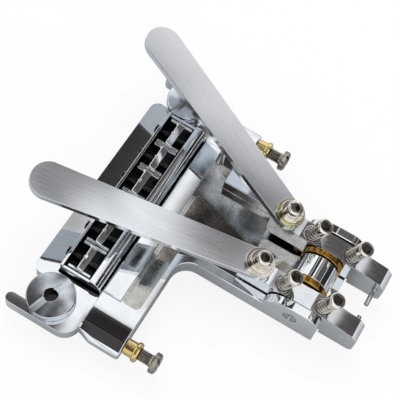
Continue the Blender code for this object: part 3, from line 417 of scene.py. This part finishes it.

# %% [markdown]
# ## The casting
#
# The base is one casting: a ledge in front, two open forks for the studs, ears, a trough and a
# neck with two cheeks for the axle. It could be drawn again from nothing, but the solid already
# has the right shape. What it lacks are the small radii of a real casting, which catch the light.
# The underside was ground flat, so its edges stay sharp. The front lip of the ledge, where the palm rests,
# is rounded more. The floor of the trough gets its rougher plate, with painted shade in its darker colour.

# %% Casting
TROUGH = ((17.0, 56.0), (-33.0, 33.0), (1.5, 2.3))


def on_ledge_lip(start, end):
    """Whether an edge lies along the front top edge of the ledge."""
    return max(start.x, end.x) < -12.0 and min(start.z, end.z) > 4.9


base_model = bench_copy("base")
ease(base_model, 0.28, 3, least=0.9, above=0.01, lip=on_ledge_lip, lip_width=0.9)
# These trough faces take the rougher finish, whose darker colour is painted shade.
trough_shade_count = mark(base_model, TROUGH)
base = put(base_model, "base", UNMOVED, chrome, second=shaded_chrome)
clear_bench(base_model)
print("casting:", len(base.data.polygons), "faces,", trough_shade_count, "of them in the trough")

# %% [markdown]
# ## Rail and saddles
#
# The saddles slide in the tray of the rail. They are small H shapes, plated after tumbling, so
# their edges are softer than the rail's. All six are the same, yet each copy is cut from its own
# node, because the intonation screws hold them in their places.

# %% Rail and saddles
TRAY = ((-1.9, 7.7), (-32.0, 32.0), (3.0, 8.4))

rail_model = bench_copy("rail")
ease(rail_model, 0.18, 2)
# The tray's faces take the near-black painted shade.
black = mark(rail_model, TRAY)
rail = put(rail_model, "rail", UNMOVED, chrome, second=tray_shade)
clear_bench(rail_model)
print("rail:", len(rail.data.polygons), "faces,", black, "of them in the tray")

SADDLES = range(1, 7)
for number in SADDLES:
    node = "saddle_" + str(number)
    saddle_model = bench_copy(node)
    ease(saddle_model, 0.28, 3)
    put(saddle_model, node, UNMOVED, saddle_chrome)
    clear_bench(saddle_model)
print("saddles:", len(SADDLES))

# %% [markdown]
# ## Lever blocks, palm levers and axle
#
# The blocks are milled from aluminium bar and polished, so their edges are only broken. The palm
# levers are plate with a rounded edge all round, which shows as a bright line in the photograph.
# The axle is a plain ground rod with a slot in its end.

# %% Blocks, levers and axle
for side in ("left", "right"):
    block_model = bench_copy("lever_block_" + side)
    ease(block_model, 0.22, 2)
    put(block_model, "lever_block_" + side, UNMOVED, block_metal)
    arm_model = bench_copy("lever_arm_" + side)
    ease(arm_model, 0.16, 3, 25.0)
    put(arm_model, "lever_arm_" + side, UNMOVED, brushed[side])
    clear_bench(block_model, arm_model)
axle_model = bench_copy("axle")
ease(axle_model, 0.2, 2)
axle = put(axle_model, "axle", UNMOVED, axle_steel)
clear_bench(axle_model)
print("axle:", len(axle.data.polygons), "faces")

# %% [markdown]
# ## Tools for turned parts
#
# A lathe turns one profile into a whole part. Here a ring of points is drawn once and pulled from
# height to height, and resized at each stop, which is the same idea. Slots and hex sockets are
# then cut by a Boolean modifier with a block or a six-sided bar. A knurl, the rough grip on a
# screw head or nut, is made by pulling every second line of the side in a little.

# %% Lathe, cutters and knurl
def lathe(profile, count=64, hollow=False):
    """Draw a ring and pull it along a profile of (radius, height), as a lathe does."""
    bpy.ops.object.select_all(action="DESELECT")
    radius, height = profile[0]
    bpy.ops.mesh.primitive_circle_add(vertices=count, radius=radius,
                                      fill_type="NOTHING" if hollow else "NGON")
    item = bpy.context.object
    bpy.ops.object.mode_set(mode="EDIT")
    bpy.ops.mesh.select_all(action="SELECT")
    bpy.ops.transform.translate(value=(0.0, 0.0, height))
    for next_radius, next_height in profile[1:] + (profile[:1] if hollow else []):
        bpy.ops.mesh.extrude_region_move(
            TRANSFORM_OT_translate={"value": (0.0, 0.0, next_height - height)})
        share = next_radius / radius
        bpy.ops.transform.resize(value=(share, share, 1.0), center_override=(0.0, 0.0, next_height))
        radius, height = next_radius, next_height
    bpy.ops.mesh.select_all(action="SELECT")
    bpy.ops.mesh.remove_doubles(threshold=0.0005)
    bpy.ops.mesh.normals_make_consistent(inside=False)
    bpy.ops.object.mode_set(mode="OBJECT")
    return item


def smooth(item, angle):
    """Shade smooth across edges that are flatter than an angle."""
    lone(item)
    bpy.ops.object.shade_smooth_by_angle(angle=math.radians(angle))


def block_tool(x, y, z, at=(0.0, 0.0, 0.0), turn=0.0):
    """A plain block to cut slots with, of full sizes x, y and z."""
    bpy.ops.object.select_all(action="DESELECT")
    bpy.ops.mesh.primitive_cube_add(size=1.0, location=at, rotation=(0.0, 0.0, turn), scale=(x, y, z))
    bpy.ops.object.transform_apply(location=True, rotation=True, scale=True)
    return bpy.context.object


def hexagon_tool(across, low, high):
    """A six-sided bar to cut hex sockets with, measured across its corners."""
    bpy.ops.object.select_all(action="DESELECT")
    bpy.ops.mesh.primitive_cylinder_add(vertices=6, radius=across / 2, depth=high - low,
                                        location=(0.0, 0.0, (high + low) / 2))
    bpy.ops.object.transform_apply(location=True, rotation=True, scale=True)
    return bpy.context.object


def cut(item, tool):
    """Take one shape out of another, then throw the tool away."""
    apply(item, "BOOLEAN", operation="DIFFERENCE", solver="EXACT", object=tool)
    bpy.data.objects.remove(tool)


def knurl(item, radius, low, high, pull, ridges=24):
    """Pull in every second point of the side between two heights."""
    lone(item)
    for point in item.data.vertices:
        share = math.atan2(point.co.y, point.co.x) / (2 * math.pi) * ridges % 1.0
        side = math.hypot(point.co.x, point.co.y) > radius - 0.02
        point.select = side and low - 0.001 < point.co.z < high + 0.001 and 0.3 < share < 0.7
    bpy.ops.object.mode_set(mode="EDIT")
    bpy.ops.transform.resize(value=(pull, pull, 1.0), center_override=(0.0, 0.0, 0.0))
    bpy.ops.object.mode_set(mode="OBJECT")


def mark_socket(item, radius, top, depth):
    """Mark the faces of a socket, so that they can take a second finish as painted shade."""
    for face in item.data.polygons:
        inside = math.hypot(face.center.x, face.center.y) < radius
        if inside and top - depth - 0.1 < face.center.z < top - 0.05:
            face.material_index = 1
    print("socket:", sum(face.material_index == 1 for face in item.data.polygons), "faces")


print("lathe, cutters and knurl ready")

# %% [markdown]
# ## Cap screws
#
# Six socket cap screws hold and adjust the levers. A cap head is a turned cylinder with a rounded
# rim, straight knurling on its side for the fingers, and a hexagon pressed into its top. The
# knurl has 24 ridges here. The thread is drawn as rings 0.5 mm apart, because at this size nobody
# sees the slope of the real helix.

# %% Cap screw
HEAD_RADIUS = 2.75
HEAD_LENGTH = 3.0
SHANK_RADIUS = 1.45
SOCKET_CORNERS = 2.88
SOCKET_DEPTH = 1.7
RING_PITCH = 0.5


def cap_screw(head_low, tip):
    """A socket cap screw along Z. Heights are those of the underside of its head and of its tip."""
    top = head_low + HEAD_LENGTH
    profile = [(SHANK_RADIUS - 0.4, tip), (SHANK_RADIUS, tip + 0.4)]
    ring = tip + 0.9
    while ring < head_low - 0.6:
        profile += [(SHANK_RADIUS, ring), (SHANK_RADIUS - 0.22, ring + RING_PITCH / 2),
                    (SHANK_RADIUS, ring + RING_PITCH)]
        ring += RING_PITCH
    profile += [
        (SHANK_RADIUS, head_low), (HEAD_RADIUS - 0.2, head_low), (HEAD_RADIUS, head_low + 0.2),
        (HEAD_RADIUS, head_low + 0.35), (HEAD_RADIUS, top - 0.65), (HEAD_RADIUS - 0.03, top - 0.4),
        (HEAD_RADIUS - 0.14, top - 0.2), (HEAD_RADIUS - 0.32, top - 0.06), (HEAD_RADIUS - 0.55, top),
        (1.62, top), (1.5, top - 0.14),
    ]
    item = lathe(profile, 48)
    knurl(item, HEAD_RADIUS, head_low + 0.35, top - 0.65, 0.94)
    cut(item, hexagon_tool(SOCKET_CORNERS, top - SOCKET_DEPTH, top + 1.0))
    smooth(item, 28.0)
    # The faces inside the socket take a dark second finish, which is painted shade.
    mark_socket(item, 1.6, top, SOCKET_DEPTH)
    return item


print("cap heads", 2 * HEAD_RADIUS, "mm across and", HEAD_LENGTH, "mm high")

# %% [markdown]
# The four adjusting screws lean towards the tail by 16.5 degrees, and the two clamp screws by 11.
# Each screw is put where its solid stands: the place below is where its axis leaves the block,
# and the heights of its head and its tip are counted along the axis from there.

# %% Adjusting and clamp screws
LEVER_Y = {"left": -1.8, "right": 18.0}
ADJUSTER_TILT = math.radians(16.5)
ADJUSTER_PLACES = {"front": (58.0, 12.4), "rear": (71.8, 12.024)}
ADJUSTER_HEIGHTS = {"front": (5.8, -9.06), "rear": (6.7, -9.712)}
CLAMP_X, CLAMP_Z, CLAMP_HEAD_LOW, CLAMP_TIP = 48.2, 13.625, 5.46, -6.6


def adjuster_axis(end, side):
    """Where an adjusting screw leaves its block, with Z along the screw."""
    x, z = ADJUSTER_PLACES[end]
    return shift(x, LEVER_Y[side], z) @ Matrix.Rotation(ADJUSTER_TILT, 4, "Y")


def clamp_axis(side):
    """Where a clamp screw leaves its block, with Z along the screw."""
    return shift(CLAMP_X, LEVER_Y[side], CLAMP_Z) @ Matrix.Rotation(SEAT_TILT, 4, "Y")


for end, (head_low, tip) in ADJUSTER_HEIGHTS.items():
    model = cap_screw(head_low, tip)
    for side in LEVER_Y:
        node = "adjuster_" + end + "_" + side
        item = put(model, node, adjuster_axis(end, side), nickel, second=socket_shade)
    clear_bench(model)
clamp_model = cap_screw(CLAMP_HEAD_LOW, CLAMP_TIP)
for side in LEVER_Y:
    put(clamp_model, "clamp_screw_" + side, clamp_axis(side), nickel, second=socket_shade)
clear_bench(clamp_model)

# %% [markdown]
# ## Springs
#
# A spring between block and head keeps each adjuster from turning by itself. Real ones are wound
# from drawn wire, with the last turn at each end lying flat. The wire is a curve with a round
# section, bent from a formula, and then made a mesh. Front springs have 3.2 open turns and the
# longer rear ones 4. Each stands in a shallow pocket of its block, and stretches from there to the
# head of its screw.

# %% Springs
WIRE = 0.33
COIL = 2.0
FLAT_TURNS = 0.75
FLAT_PITCH = 0.3
STEPS_PER_TURN = 24
FOOT_DEPTH = 0.88
HEAD_GAP = 0.12


def spring(length, turns):
    """A wound spring along Z, from 0 to its length in mm, with a flat turn at each end."""
    total = turns + 2 * FLAT_TURNS
    points = []
    for step in range(int(total * STEPS_PER_TURN) + 1):
        turn = step / STEPS_PER_TURN
        open_part = min(max(turn - FLAT_TURNS, 0.0), turns) / turns
        closed = min(turn, FLAT_TURNS) + max(turn - FLAT_TURNS - turns, 0.0)
        height = WIRE + closed * FLAT_PITCH + open_part * (length - 2 * WIRE - 2 * FLAT_TURNS * FLAT_PITCH)
        angle = turn * 2 * math.pi
        points.append((COIL * math.cos(angle), COIL * math.sin(angle), height))
    curve = bpy.data.curves.new("wire", "CURVE")
    curve.dimensions = "3D"
    curve.bevel_depth = WIRE
    curve.bevel_resolution = 3
    curve.use_fill_caps = True
    line = curve.splines.new("POLY")
    line.points.add(len(points) - 1)
    for target, point in zip(line.points, points):
        target.co = (*point, 1.0)
    item = bpy.data.objects.new("wire", curve)
    bpy.context.scene.collection.objects.link(item)
    lone(item)
    bpy.ops.object.convert(target="MESH")
    item = bpy.context.object
    bpy.ops.object.mode_set(mode="EDIT")
    bpy.ops.mesh.select_all(action="SELECT")
    bpy.ops.mesh.remove_doubles(threshold=0.0005)
    bpy.ops.mesh.normals_make_consistent(inside=False)
    bpy.ops.object.mode_set(mode="OBJECT")
    bpy.ops.object.shade_smooth()
    return item


for end, turns in (("front", 3.2), ("rear", 4.0)):
    length = FOOT_DEPTH + ADJUSTER_HEIGHTS[end][0] - HEAD_GAP
    model = spring(length, turns)
    for side in LEVER_Y:
        name = end + "_" + side
        place = adjuster_axis(end, side) @ shift(0.0, 0.0, -FOOT_DEPTH)
        put(model, "adjuster_spring_" + name, place, spring_wire,
            far_body="adjuster_" + name)
    clear_bench(model)
    print(end, "spring:", turns, "open turns over", round(length, 2), "mm")

# %% [markdown]
# ## Washers and bushes
#
# Flat rings are turned and parted off, which leaves a small chamfer at each rim. The spring
# washer is a ring that was split and twisted, so one slanted gap is cut through it. Only the far
# lever's flat washer is yellow in the photograph.

# %% Clamp washers
def washer(bore, radius, thickness, chamfer=0.12):
    """A flat ring on Z, from 0 to its thickness."""
    item = lathe([
        (bore, chamfer), (bore + chamfer, 0.0), (radius - chamfer, 0.0), (radius, chamfer),
        (radius, thickness - chamfer), (radius - chamfer, thickness), (bore + chamfer, thickness),
        (bore, thickness - chamfer),
    ], 64, hollow=True)
    smooth(item, 30.0)
    return item


FLAT_WASHER_LOW = 2.82
SPLIT_WASHER_LOW = 3.94

flat_model = washer(1.53, 4.7, 1.0)
split_model = washer(1.53, 3.7, 1.4, 0.18)
cut(split_model, block_tool(4.0, 0.35, 4.0, (2.6, 0.0, 0.7), math.radians(18.0)))
for side, finish in (("left", nickel), ("right", zinc)):
    low_place = clamp_axis(side) @ shift(0.0, 0.0, FLAT_WASHER_LOW)
    put(flat_model, "clamp_washer_" + side, low_place, finish)
    high_place = clamp_axis(side) @ shift(0.0, 0.0, SPLIT_WASHER_LOW)
    put(split_model, "clamp_spring_washer_" + side, high_place, nickel)
print("washers:", len(flat_model.data.polygons), "and", len(split_model.data.polygons), "faces")
clear_bench(flat_model, split_model)

# %% [markdown]
# A thrust washer fills the space between each lever block and the boss, and a bush lines each
# block. Both run on the axle, so they lie on its line.

# %% Thrust washers and bushes
AXLE_X, AXLE_Z = 64.5, 7.2
THRUST_Y = {"left": 1.8, "right": 12.4}
THRUST_RADIUS = 6.8
THRUST_THICKNESS = 2.0
BUSH_LENGTH = 6.6

thrust_model = washer(2.38, THRUST_RADIUS, THRUST_THICKNESS, 0.25)
bush_model = washer(2.38, 2.98, BUSH_LENGTH, 0.05)
for side, y in THRUST_Y.items():
    put(thrust_model, "thrust_washer_" + side, shift(AXLE_X, y, AXLE_Z) @ ALONG_Y, oiled_brass)
    bush_place = shift(AXLE_X, LEVER_Y[side] - BUSH_LENGTH / 2, AXLE_Z) @ ALONG_Y
    put(bush_model, "lever_bush_" + side, bush_place, bearing)
clear_bench(thrust_model, bush_model)
print("thrust washers", 2 * THRUST_RADIUS, "mm across,", THRUST_THICKNESS, "mm thick")

# %% [markdown]
# ## Studs
#
# The two studs carry the whole bridge. Each has a broad, gently domed head with a screwdriver slot and a
# deep hole in its middle, then a neck that the fork hooks round, a flange, and a short shank, whose thread
# is again drawn as plain rings. It is one turning, so it is pulled up from a single ring. The walls of the
# hole take the dark finish, which is painted shade.

# %% Studs
STUD_Y = {"left": -41.25, "right": 41.25}
THREAD_PITCH = 0.7
SHANK_TIP = -6.4
STUD_TOP = 8.3
STUD_RADIUS = 7.6
STUD_DOME = 0.4
DOME_RIM = 7.2
STUD_HOLE = 2.1
STUD_HOLE_DEPTH = 3.0
DOME_STEPS = 8


def threaded(profile, radius, low, high, depth):
    """Add the rings of a thread to a profile, from a low to a high place."""
    ring = low
    while ring + THREAD_PITCH <= high:
        profile += [(radius, ring), (radius - depth, ring + THREAD_PITCH / 2)]
        ring += THREAD_PITCH
    profile.append((radius, ring))
    return profile


stud_profile = threaded([(3.2, SHANK_TIP), (3.9, SHANK_TIP + 0.6)], 4.0, SHANK_TIP + 0.8, -2.1, 0.3)
stud_profile += [
    (4.0, -1.9), (6.35, -1.9), (6.5, -1.75), (6.5, -0.45), (6.35, -0.3), (3.9, -0.3), (3.9, 5.3),
    (7.2, 5.3), (7.45, 5.38), (7.6, 5.7), (7.6, 7.35), (7.55, 7.55), (7.4, 7.78),
]
for step in range(DOME_STEPS + 1):
    radius = DOME_RIM + (STUD_HOLE + 0.2 - DOME_RIM) * step / DOME_STEPS
    stud_profile.append((radius, STUD_TOP - STUD_DOME * (radius / STUD_RADIUS) ** 2))
stud_profile += [(STUD_HOLE, STUD_TOP - 0.25), (STUD_HOLE, STUD_TOP - STUD_HOLE_DEPTH)]
stud_model = lathe(stud_profile, 96)
cut(stud_model, block_tool(20.0, 2.1, 2.4, (0.0, 0.0, STUD_TOP), math.radians(72.0)))
ease(stud_model, 0.08, 2, 40.0)
# The walls of the hole take the dark finish, which is painted shade.
mark_socket(stud_model, STUD_HOLE + 0.05, STUD_TOP, STUD_HOLE_DEPTH)
for side, y in STUD_Y.items():
    put(stud_model, "stud_" + side, shift(0.0, y, 0.0), turned_chrome, second=black_steel_and_hole_shade)
print("stud:", len(stud_model.data.polygons), "faces")
clear_bench(stud_model)

# %% [markdown]
# ## Position screws and thumb nuts
#
# A slotted screw behind each ear pushes on its stud and sets how far back the bridge sits. A
# brass thumb nut with a knurled collar locks it. Both lie along X, so a height on the bench
# becomes a distance towards the tail.

# %% Position screws and thumb nuts
SCREW_Z = 2.9
NUT_X = 26.7
NUT_RADIUS = 3.5
SCREW_SLOT_AT = 38.2

screw_profile = threaded([(1.4, 4.32), (2.0, 4.92)], 2.0, 5.2, 35.8, 0.32)
screw_profile += [
    (1.9, 36.05), (3.2, 36.05), (3.4, 36.25), (3.4, 37.3), (3.3, 37.7), (3.0, 38.0), (2.4, 38.2),
    (1.0, 38.25),
]
screw_model = lathe(screw_profile, 48)
cut(screw_model, block_tool(8.0, 0.9, 1.6, (0.0, 0.0, SCREW_SLOT_AT)))
smooth(screw_model, 35.0)

nut_model = lathe([
    (2.08, 0.0), (2.65, 0.0), (2.8, 0.15), (2.8, 3.0), (3.2, 3.1), (3.5, 3.5), (3.5, 4.2), (3.2, 4.7),
    (2.7, 4.8), (2.4, 4.8), (2.08, 4.6),
], 80, hollow=True)
knurl(nut_model, NUT_RADIUS, 3.5, 4.2, 0.93, ridges=40)
smooth(nut_model, 25.0)
for side, y in STUD_Y.items():
    put(screw_model, "position_screw_" + side, shift(0.0, y, SCREW_Z) @ ALONG_X, screw_steel)
    put(nut_model, "lock_nut_" + side, shift(NUT_X, y, SCREW_Z) @ ALONG_X, brass)
print("nut:", len(nut_model.data.polygons), "faces, screw:", len(screw_model.data.polygons))
clear_bench(screw_model, nut_model)

# %% [markdown]
# ## Intonation screws
#
# Six slotted screws move the saddles, with their heads on the front of the rail. One is turned
# and slotted on the bench, and copied to each string's place.

# %% Intonation screws
STRING_PITCH = 10.4
RAIL_FRONT_X, INTONATION_Z = -2.7, 7.0

intonation_model = lathe([
    (1.25, -1.3), (1.42, -1.22), (1.5, -1.05), (1.5, -0.42), (1.4, -0.3), (0.8, -0.3), (0.8, 9.7),
    (0.55, 10.0),
], 32)
cut(intonation_model, block_tool(8.0, 0.5, 1.0, (0.0, 0.0, -1.3)))
smooth(intonation_model, 30.0)
for number in SADDLES:
    place = shift(RAIL_FRONT_X, (number - 3.5) * STRING_PITCH, INTONATION_Z) @ ALONG_X
    put(intonation_model, "intonation_screw_" + str(number), place, black_steel_and_hole_shade)
clear_bench(intonation_model)
print("intonation screws every", STRING_PITCH, "mm")

# %% [markdown]
# ## String pins
#
# The string pins are short ground rods with rounded ends, pressed into the tails of the blocks.
# The two stick out by different lengths, so each is turned to its own length.

# %% String pins
PIN_X, PIN_Z = 82.9, 6.4

for side, low, high in (("left", -2.5, 4.3), ("right", 8.4, 18.7)):
    length = high - low
    pin_model = lathe([
        (0.4, 0.0), (0.65, 0.08), (0.75, 0.3), (0.75, length - 0.3), (0.65, length - 0.08), (0.4, length),
    ], 32)
    smooth(pin_model, 40.0)
    put(pin_model, "string_pin_" + side, shift(PIN_X, low, PIN_Z) @ ALONG_Y, axle_steel)
    clear_bench(pin_model)
    print(side, "string pin", round(length, 1), "mm long")

# %% [markdown]
# A few pieces sit almost wholly inside others. Their solids are right as they are, and each only
# gets the finish of its metal.

# %% Hidden pieces
HIDDEN = {"rail_screw_left": nickel, "rail_screw_right": nickel, "axle_grub_screw": black_steel_and_hole_shade}
for node, finish in HIDDEN.items():
    mesh = nodes[node].data
    mesh.materials.clear()
    mesh.materials.append(finish)
    print(node, "in", finish.name)

# %% [markdown]
# ## The studio
#
# Chrome shows its surroundings, so the studio is part of the picture of the metal. A product
# photographer puts such a piece on a white sweep under a broad soft light, then holds dark cards
# where the metal should go dark. The sweep is lifted to white for the lens alone: metal still
# sees it as the lamps light it, and it still takes a soft shadow from the part.

# %% White sweep
FLOOR_Z = -0.0066
LENS_LIFT = 0.86


def sheet(name, corners, finish):
    """A flat four-cornered sheet for the studio, with its corners given in metres."""
    mesh = bpy.data.meshes.new(name)
    mesh.from_pydata([tuple(corner) for corner in corners], [], [(0, 1, 2, 3)])
    mesh.materials.append(finish)
    item = bpy.data.objects.new(name, mesh)
    bpy.context.scene.collection.objects.link(item)
    item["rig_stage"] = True
    return item


paper = bpy.data.materials.new("white paper sweep")
paper.use_nodes = True
tree = paper.node_tree
tree.nodes.clear()
rays = add(tree, "ShaderNodeLightPath")
lift = add(tree, "ShaderNodeMath", {0: rays.outputs["Is Camera Ray"], 1: LENS_LIFT}, operation="MULTIPLY")
matt = add(tree, "ShaderNodeBsdfDiffuse", {"Color": linear("e8e8e8")})
glow = add(tree, "ShaderNodeEmission", {"Color": linear("ffffff"), "Strength": 1.0})
mix = add(tree, "ShaderNodeMixShader", {
    0: lift.outputs["Value"], 1: matt.outputs["BSDF"], 2: glow.outputs["Emission"],
})
add(tree, "ShaderNodeOutputMaterial", {"Surface": mix.outputs["Shader"]})
sheet("floor", [(-2, -2, FLOOR_Z), (2, -2, FLOOR_Z), (2, 2, FLOOR_Z), (-2, 2, FLOOR_Z)], paper)
print("sweep at", round(FLOOR_Z / MM, 1), "mm, just under the tips of the studs")

# %% [markdown]
# The ceiling is a bright sheet 0.3 m up, and the dark cards on it are drawn in its material, with
# soft edges, so that they can be moved like real ones. Seen by the lens, a level face at x, y mm
# mirrors the ceiling at about 2x - 67, 2y + 135, which tells where a card has to hang.

# %% Ceiling with dark cards
# Each card is given by its edges along X and Y in mm, by how soft these edges are, and by the
# share of light that it takes.
DARK_CARDS = (
    ((-100, -43), (120, 330), 9, 0.90),     # The far part of the ledge and of the rail
    ((-100, -70), (84, 330), 34, 0.50),     # A soft start to it, along the ledge
    ((-32, 46), (110, 190), 16, 0.95),      # The floor of the trough, but not its near end
    ((-14, 30), (72, 106), 14, 0.72),       # The tip of the near lever
    ((54, 146), (159, 184), 6, 0.85),       # The root of the far lever and the top of its block
    ((-20, 200), (184, 270), 24, 0.25),     # A light shade on the far lever
    ((86, 146), (106, 160), 10, 0.75),      # The root of the near lever, up to its clamp screw
    ((154, 420), (118, 330), 5, 0.88),      # The tails of both blocks, with parts of the rail
    ((-43, -10), (-70, 57), 6, 0.92),       # The near ear and the lower edge of the near stud
    ((-62, 8), (-420, -56), 16, 0.92),      # The outer side of the near ear
    ((-420, -52), (-420, 45), 12, 0.90),    # The near hook and the outer part of its stud
    ((-52, 30), (-56, 36), 40, 0.60),       # A soft shade on the near ear and the near stud
    ((-230, -108), (40, 100), 40, 0.80),    # The front edge of the near stud
)
CEILING_LIGHT = 1.12

ceiling_finish = bpy.data.materials.new("ceiling with dark cards")
ceiling_finish.use_nodes = True
tree = ceiling_finish.node_tree
tree.nodes.clear()
place = add(tree, "ShaderNodeSeparateXYZ", {0: add(tree, "ShaderNodeTexCoord").outputs["Object"]})
total = add(tree, "ShaderNodeValue")
total.outputs[0].default_value = CEILING_LIGHT
for across, along, soft, share in DARK_CARDS:
    card = add(tree, "ShaderNodeValue")
    card.outputs[0].default_value = share
    for axis, edges in (("X", across), ("Y", along)):
        for edge, sign in zip(edges, (1, -1)):
            inside = add(tree, "ShaderNodeMapRange", {
                "Value": place.outputs[axis], "From Min": (edge - sign * soft / 2) * MM,
                "From Max": (edge + sign * soft / 2) * MM,
            }, interpolation_type="SMOOTHSTEP")
            card = add(tree, "ShaderNodeMath", {0: card.outputs[0], 1: inside.outputs["Result"]},
                       operation="MULTIPLY")
    left = add(tree, "ShaderNodeMath", {0: 1.0, 1: card.outputs[0]}, operation="SUBTRACT")
    total = add(tree, "ShaderNodeMath", {0: total.outputs[0], 1: left.outputs[0]}, operation="MULTIPLY")
warmth = add(tree, "ShaderNodeMix", {
    0: total.outputs[0], 6: linear("e2d3d3"), 7: linear("ffffff"),
}, data_type="RGBA")
glow = add(tree, "ShaderNodeEmission", {"Color": warmth.outputs[2], "Strength": total.outputs[0]})
add(tree, "ShaderNodeOutputMaterial", {"Surface": glow.outputs["Emission"]})
print(len(DARK_CARDS), "dark cards on the ceiling")

# %% [markdown]
# Two plain cards go with the ceiling. A grey one lies under the part and tones down the casting's
# side walls, which would mirror bright paper. A black one stands beyond the tail. Mirrors see
# all three sheets, while the lens, plain light and shadows pass through them.

# %% Hang the ceiling and the cards
def card_finish(name, code):
    """Matt board in one colour."""
    material = bpy.data.materials.new(name)
    material.use_nodes = True
    shader = material.node_tree.nodes["Principled BSDF"]
    shader.inputs["Base Color"].default_value = linear(code)
    shader.inputs["Roughness"].default_value = 0.9
    return material


UNDER_Z = -0.0064
UNDER_CARD = [(-0.08, -0.12, UNDER_Z), (0.18, -0.12, UNDER_Z), (0.18, 0.12, UNDER_Z), (-0.08, 0.12, UNDER_Z)]
END_CARD = [(0.45, -0.1, 0.0), (0.45, 0.6, 0.0), (0.45, 0.6, 0.3), (0.45, -0.1, 0.3)]
CEILING = [(-0.6, -0.6, 0.3), (0.6, -0.6, 0.3), (0.6, 0.6, 0.3), (-0.6, 0.6, 0.3)]
for name, corners, finish in (
    ("ceiling", CEILING, ceiling_finish),
    ("card beyond the tail", END_CARD, card_finish("black card", "1c1c1e")),
    ("card under the part", UNDER_CARD, card_finish("grey card", "b4b6b9")),
):
    board = sheet(name, corners, finish)
    board.visible_camera = False
    board.visible_diffuse = False
    board.visible_shadow = False
    board.visible_transmission = False
    print("only mirrors see the", name)

# %% [markdown]
# The world is an even dome at a plain level, at which a grey card would render as grey as it is.
# The lens, mirrors and glass see it as white. Two broad area lamps give the soft shadow its side.
# Mirrors don't see the lamps, because the ceiling already stands for the soft light above.

# %% Dome and lamps
world = bpy.data.worlds.new("studio dome")
bpy.context.scene.world = world
world.use_nodes = True
tree = world.node_tree
tree.nodes.clear()
rays = add(tree, "ShaderNodeLightPath")
seen = add(tree, "ShaderNodeMath", {0: rays.outputs["Is Camera Ray"], 1: rays.outputs["Is Glossy Ray"]},
           operation="MAXIMUM")
seen = add(tree, "ShaderNodeMath", {0: seen.outputs["Value"], 1: rays.outputs["Is Transmission Ray"]},
           operation="MAXIMUM")
plain = add(tree, "ShaderNodeBackground", {"Color": linear("ffffff"), "Strength": 0.65})
white = add(tree, "ShaderNodeBackground", {"Color": linear("ffffff"), "Strength": 1.0})
mix = add(tree, "ShaderNodeMixShader", {
    0: seen.outputs["Value"], 1: plain.outputs["Background"], 2: white.outputs["Background"],
})
add(tree, "ShaderNodeOutputWorld", {"Surface": mix.outputs["Shader"]})

AIM = Vector((0.03, 0.0, 0.0))
for name, place, size, power in (
    ("overhead lamp", Vector((-0.15, 0.25, 0.85)), 0.6, 4.0),
    ("side lamp", Vector((0.7, -0.5, 0.6)), 0.5, 3.0),
):
    light = bpy.data.lights.new(name, "AREA")
    light.size = size
    light.energy = power
    lamp = bpy.data.objects.new(name, light)
    lamp.location = place
    lamp.rotation_euler = (AIM - place).to_track_quat("-Z", "Y").to_euler()
    lamp.visible_glossy = False
    bpy.context.scene.collection.objects.link(lamp)
    print(name, power, "W")

# %% [markdown]
# Last, the size of the dressed part is printed beside that of the solids.

# %% Sizes and finish
seen_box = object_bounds()
for label, (low, high) in (("solids", cad_box), ("dressed", seen_box)):
    print(label, [round((b - a) / MM, 2) for a, b in zip(low, high)], "mm")
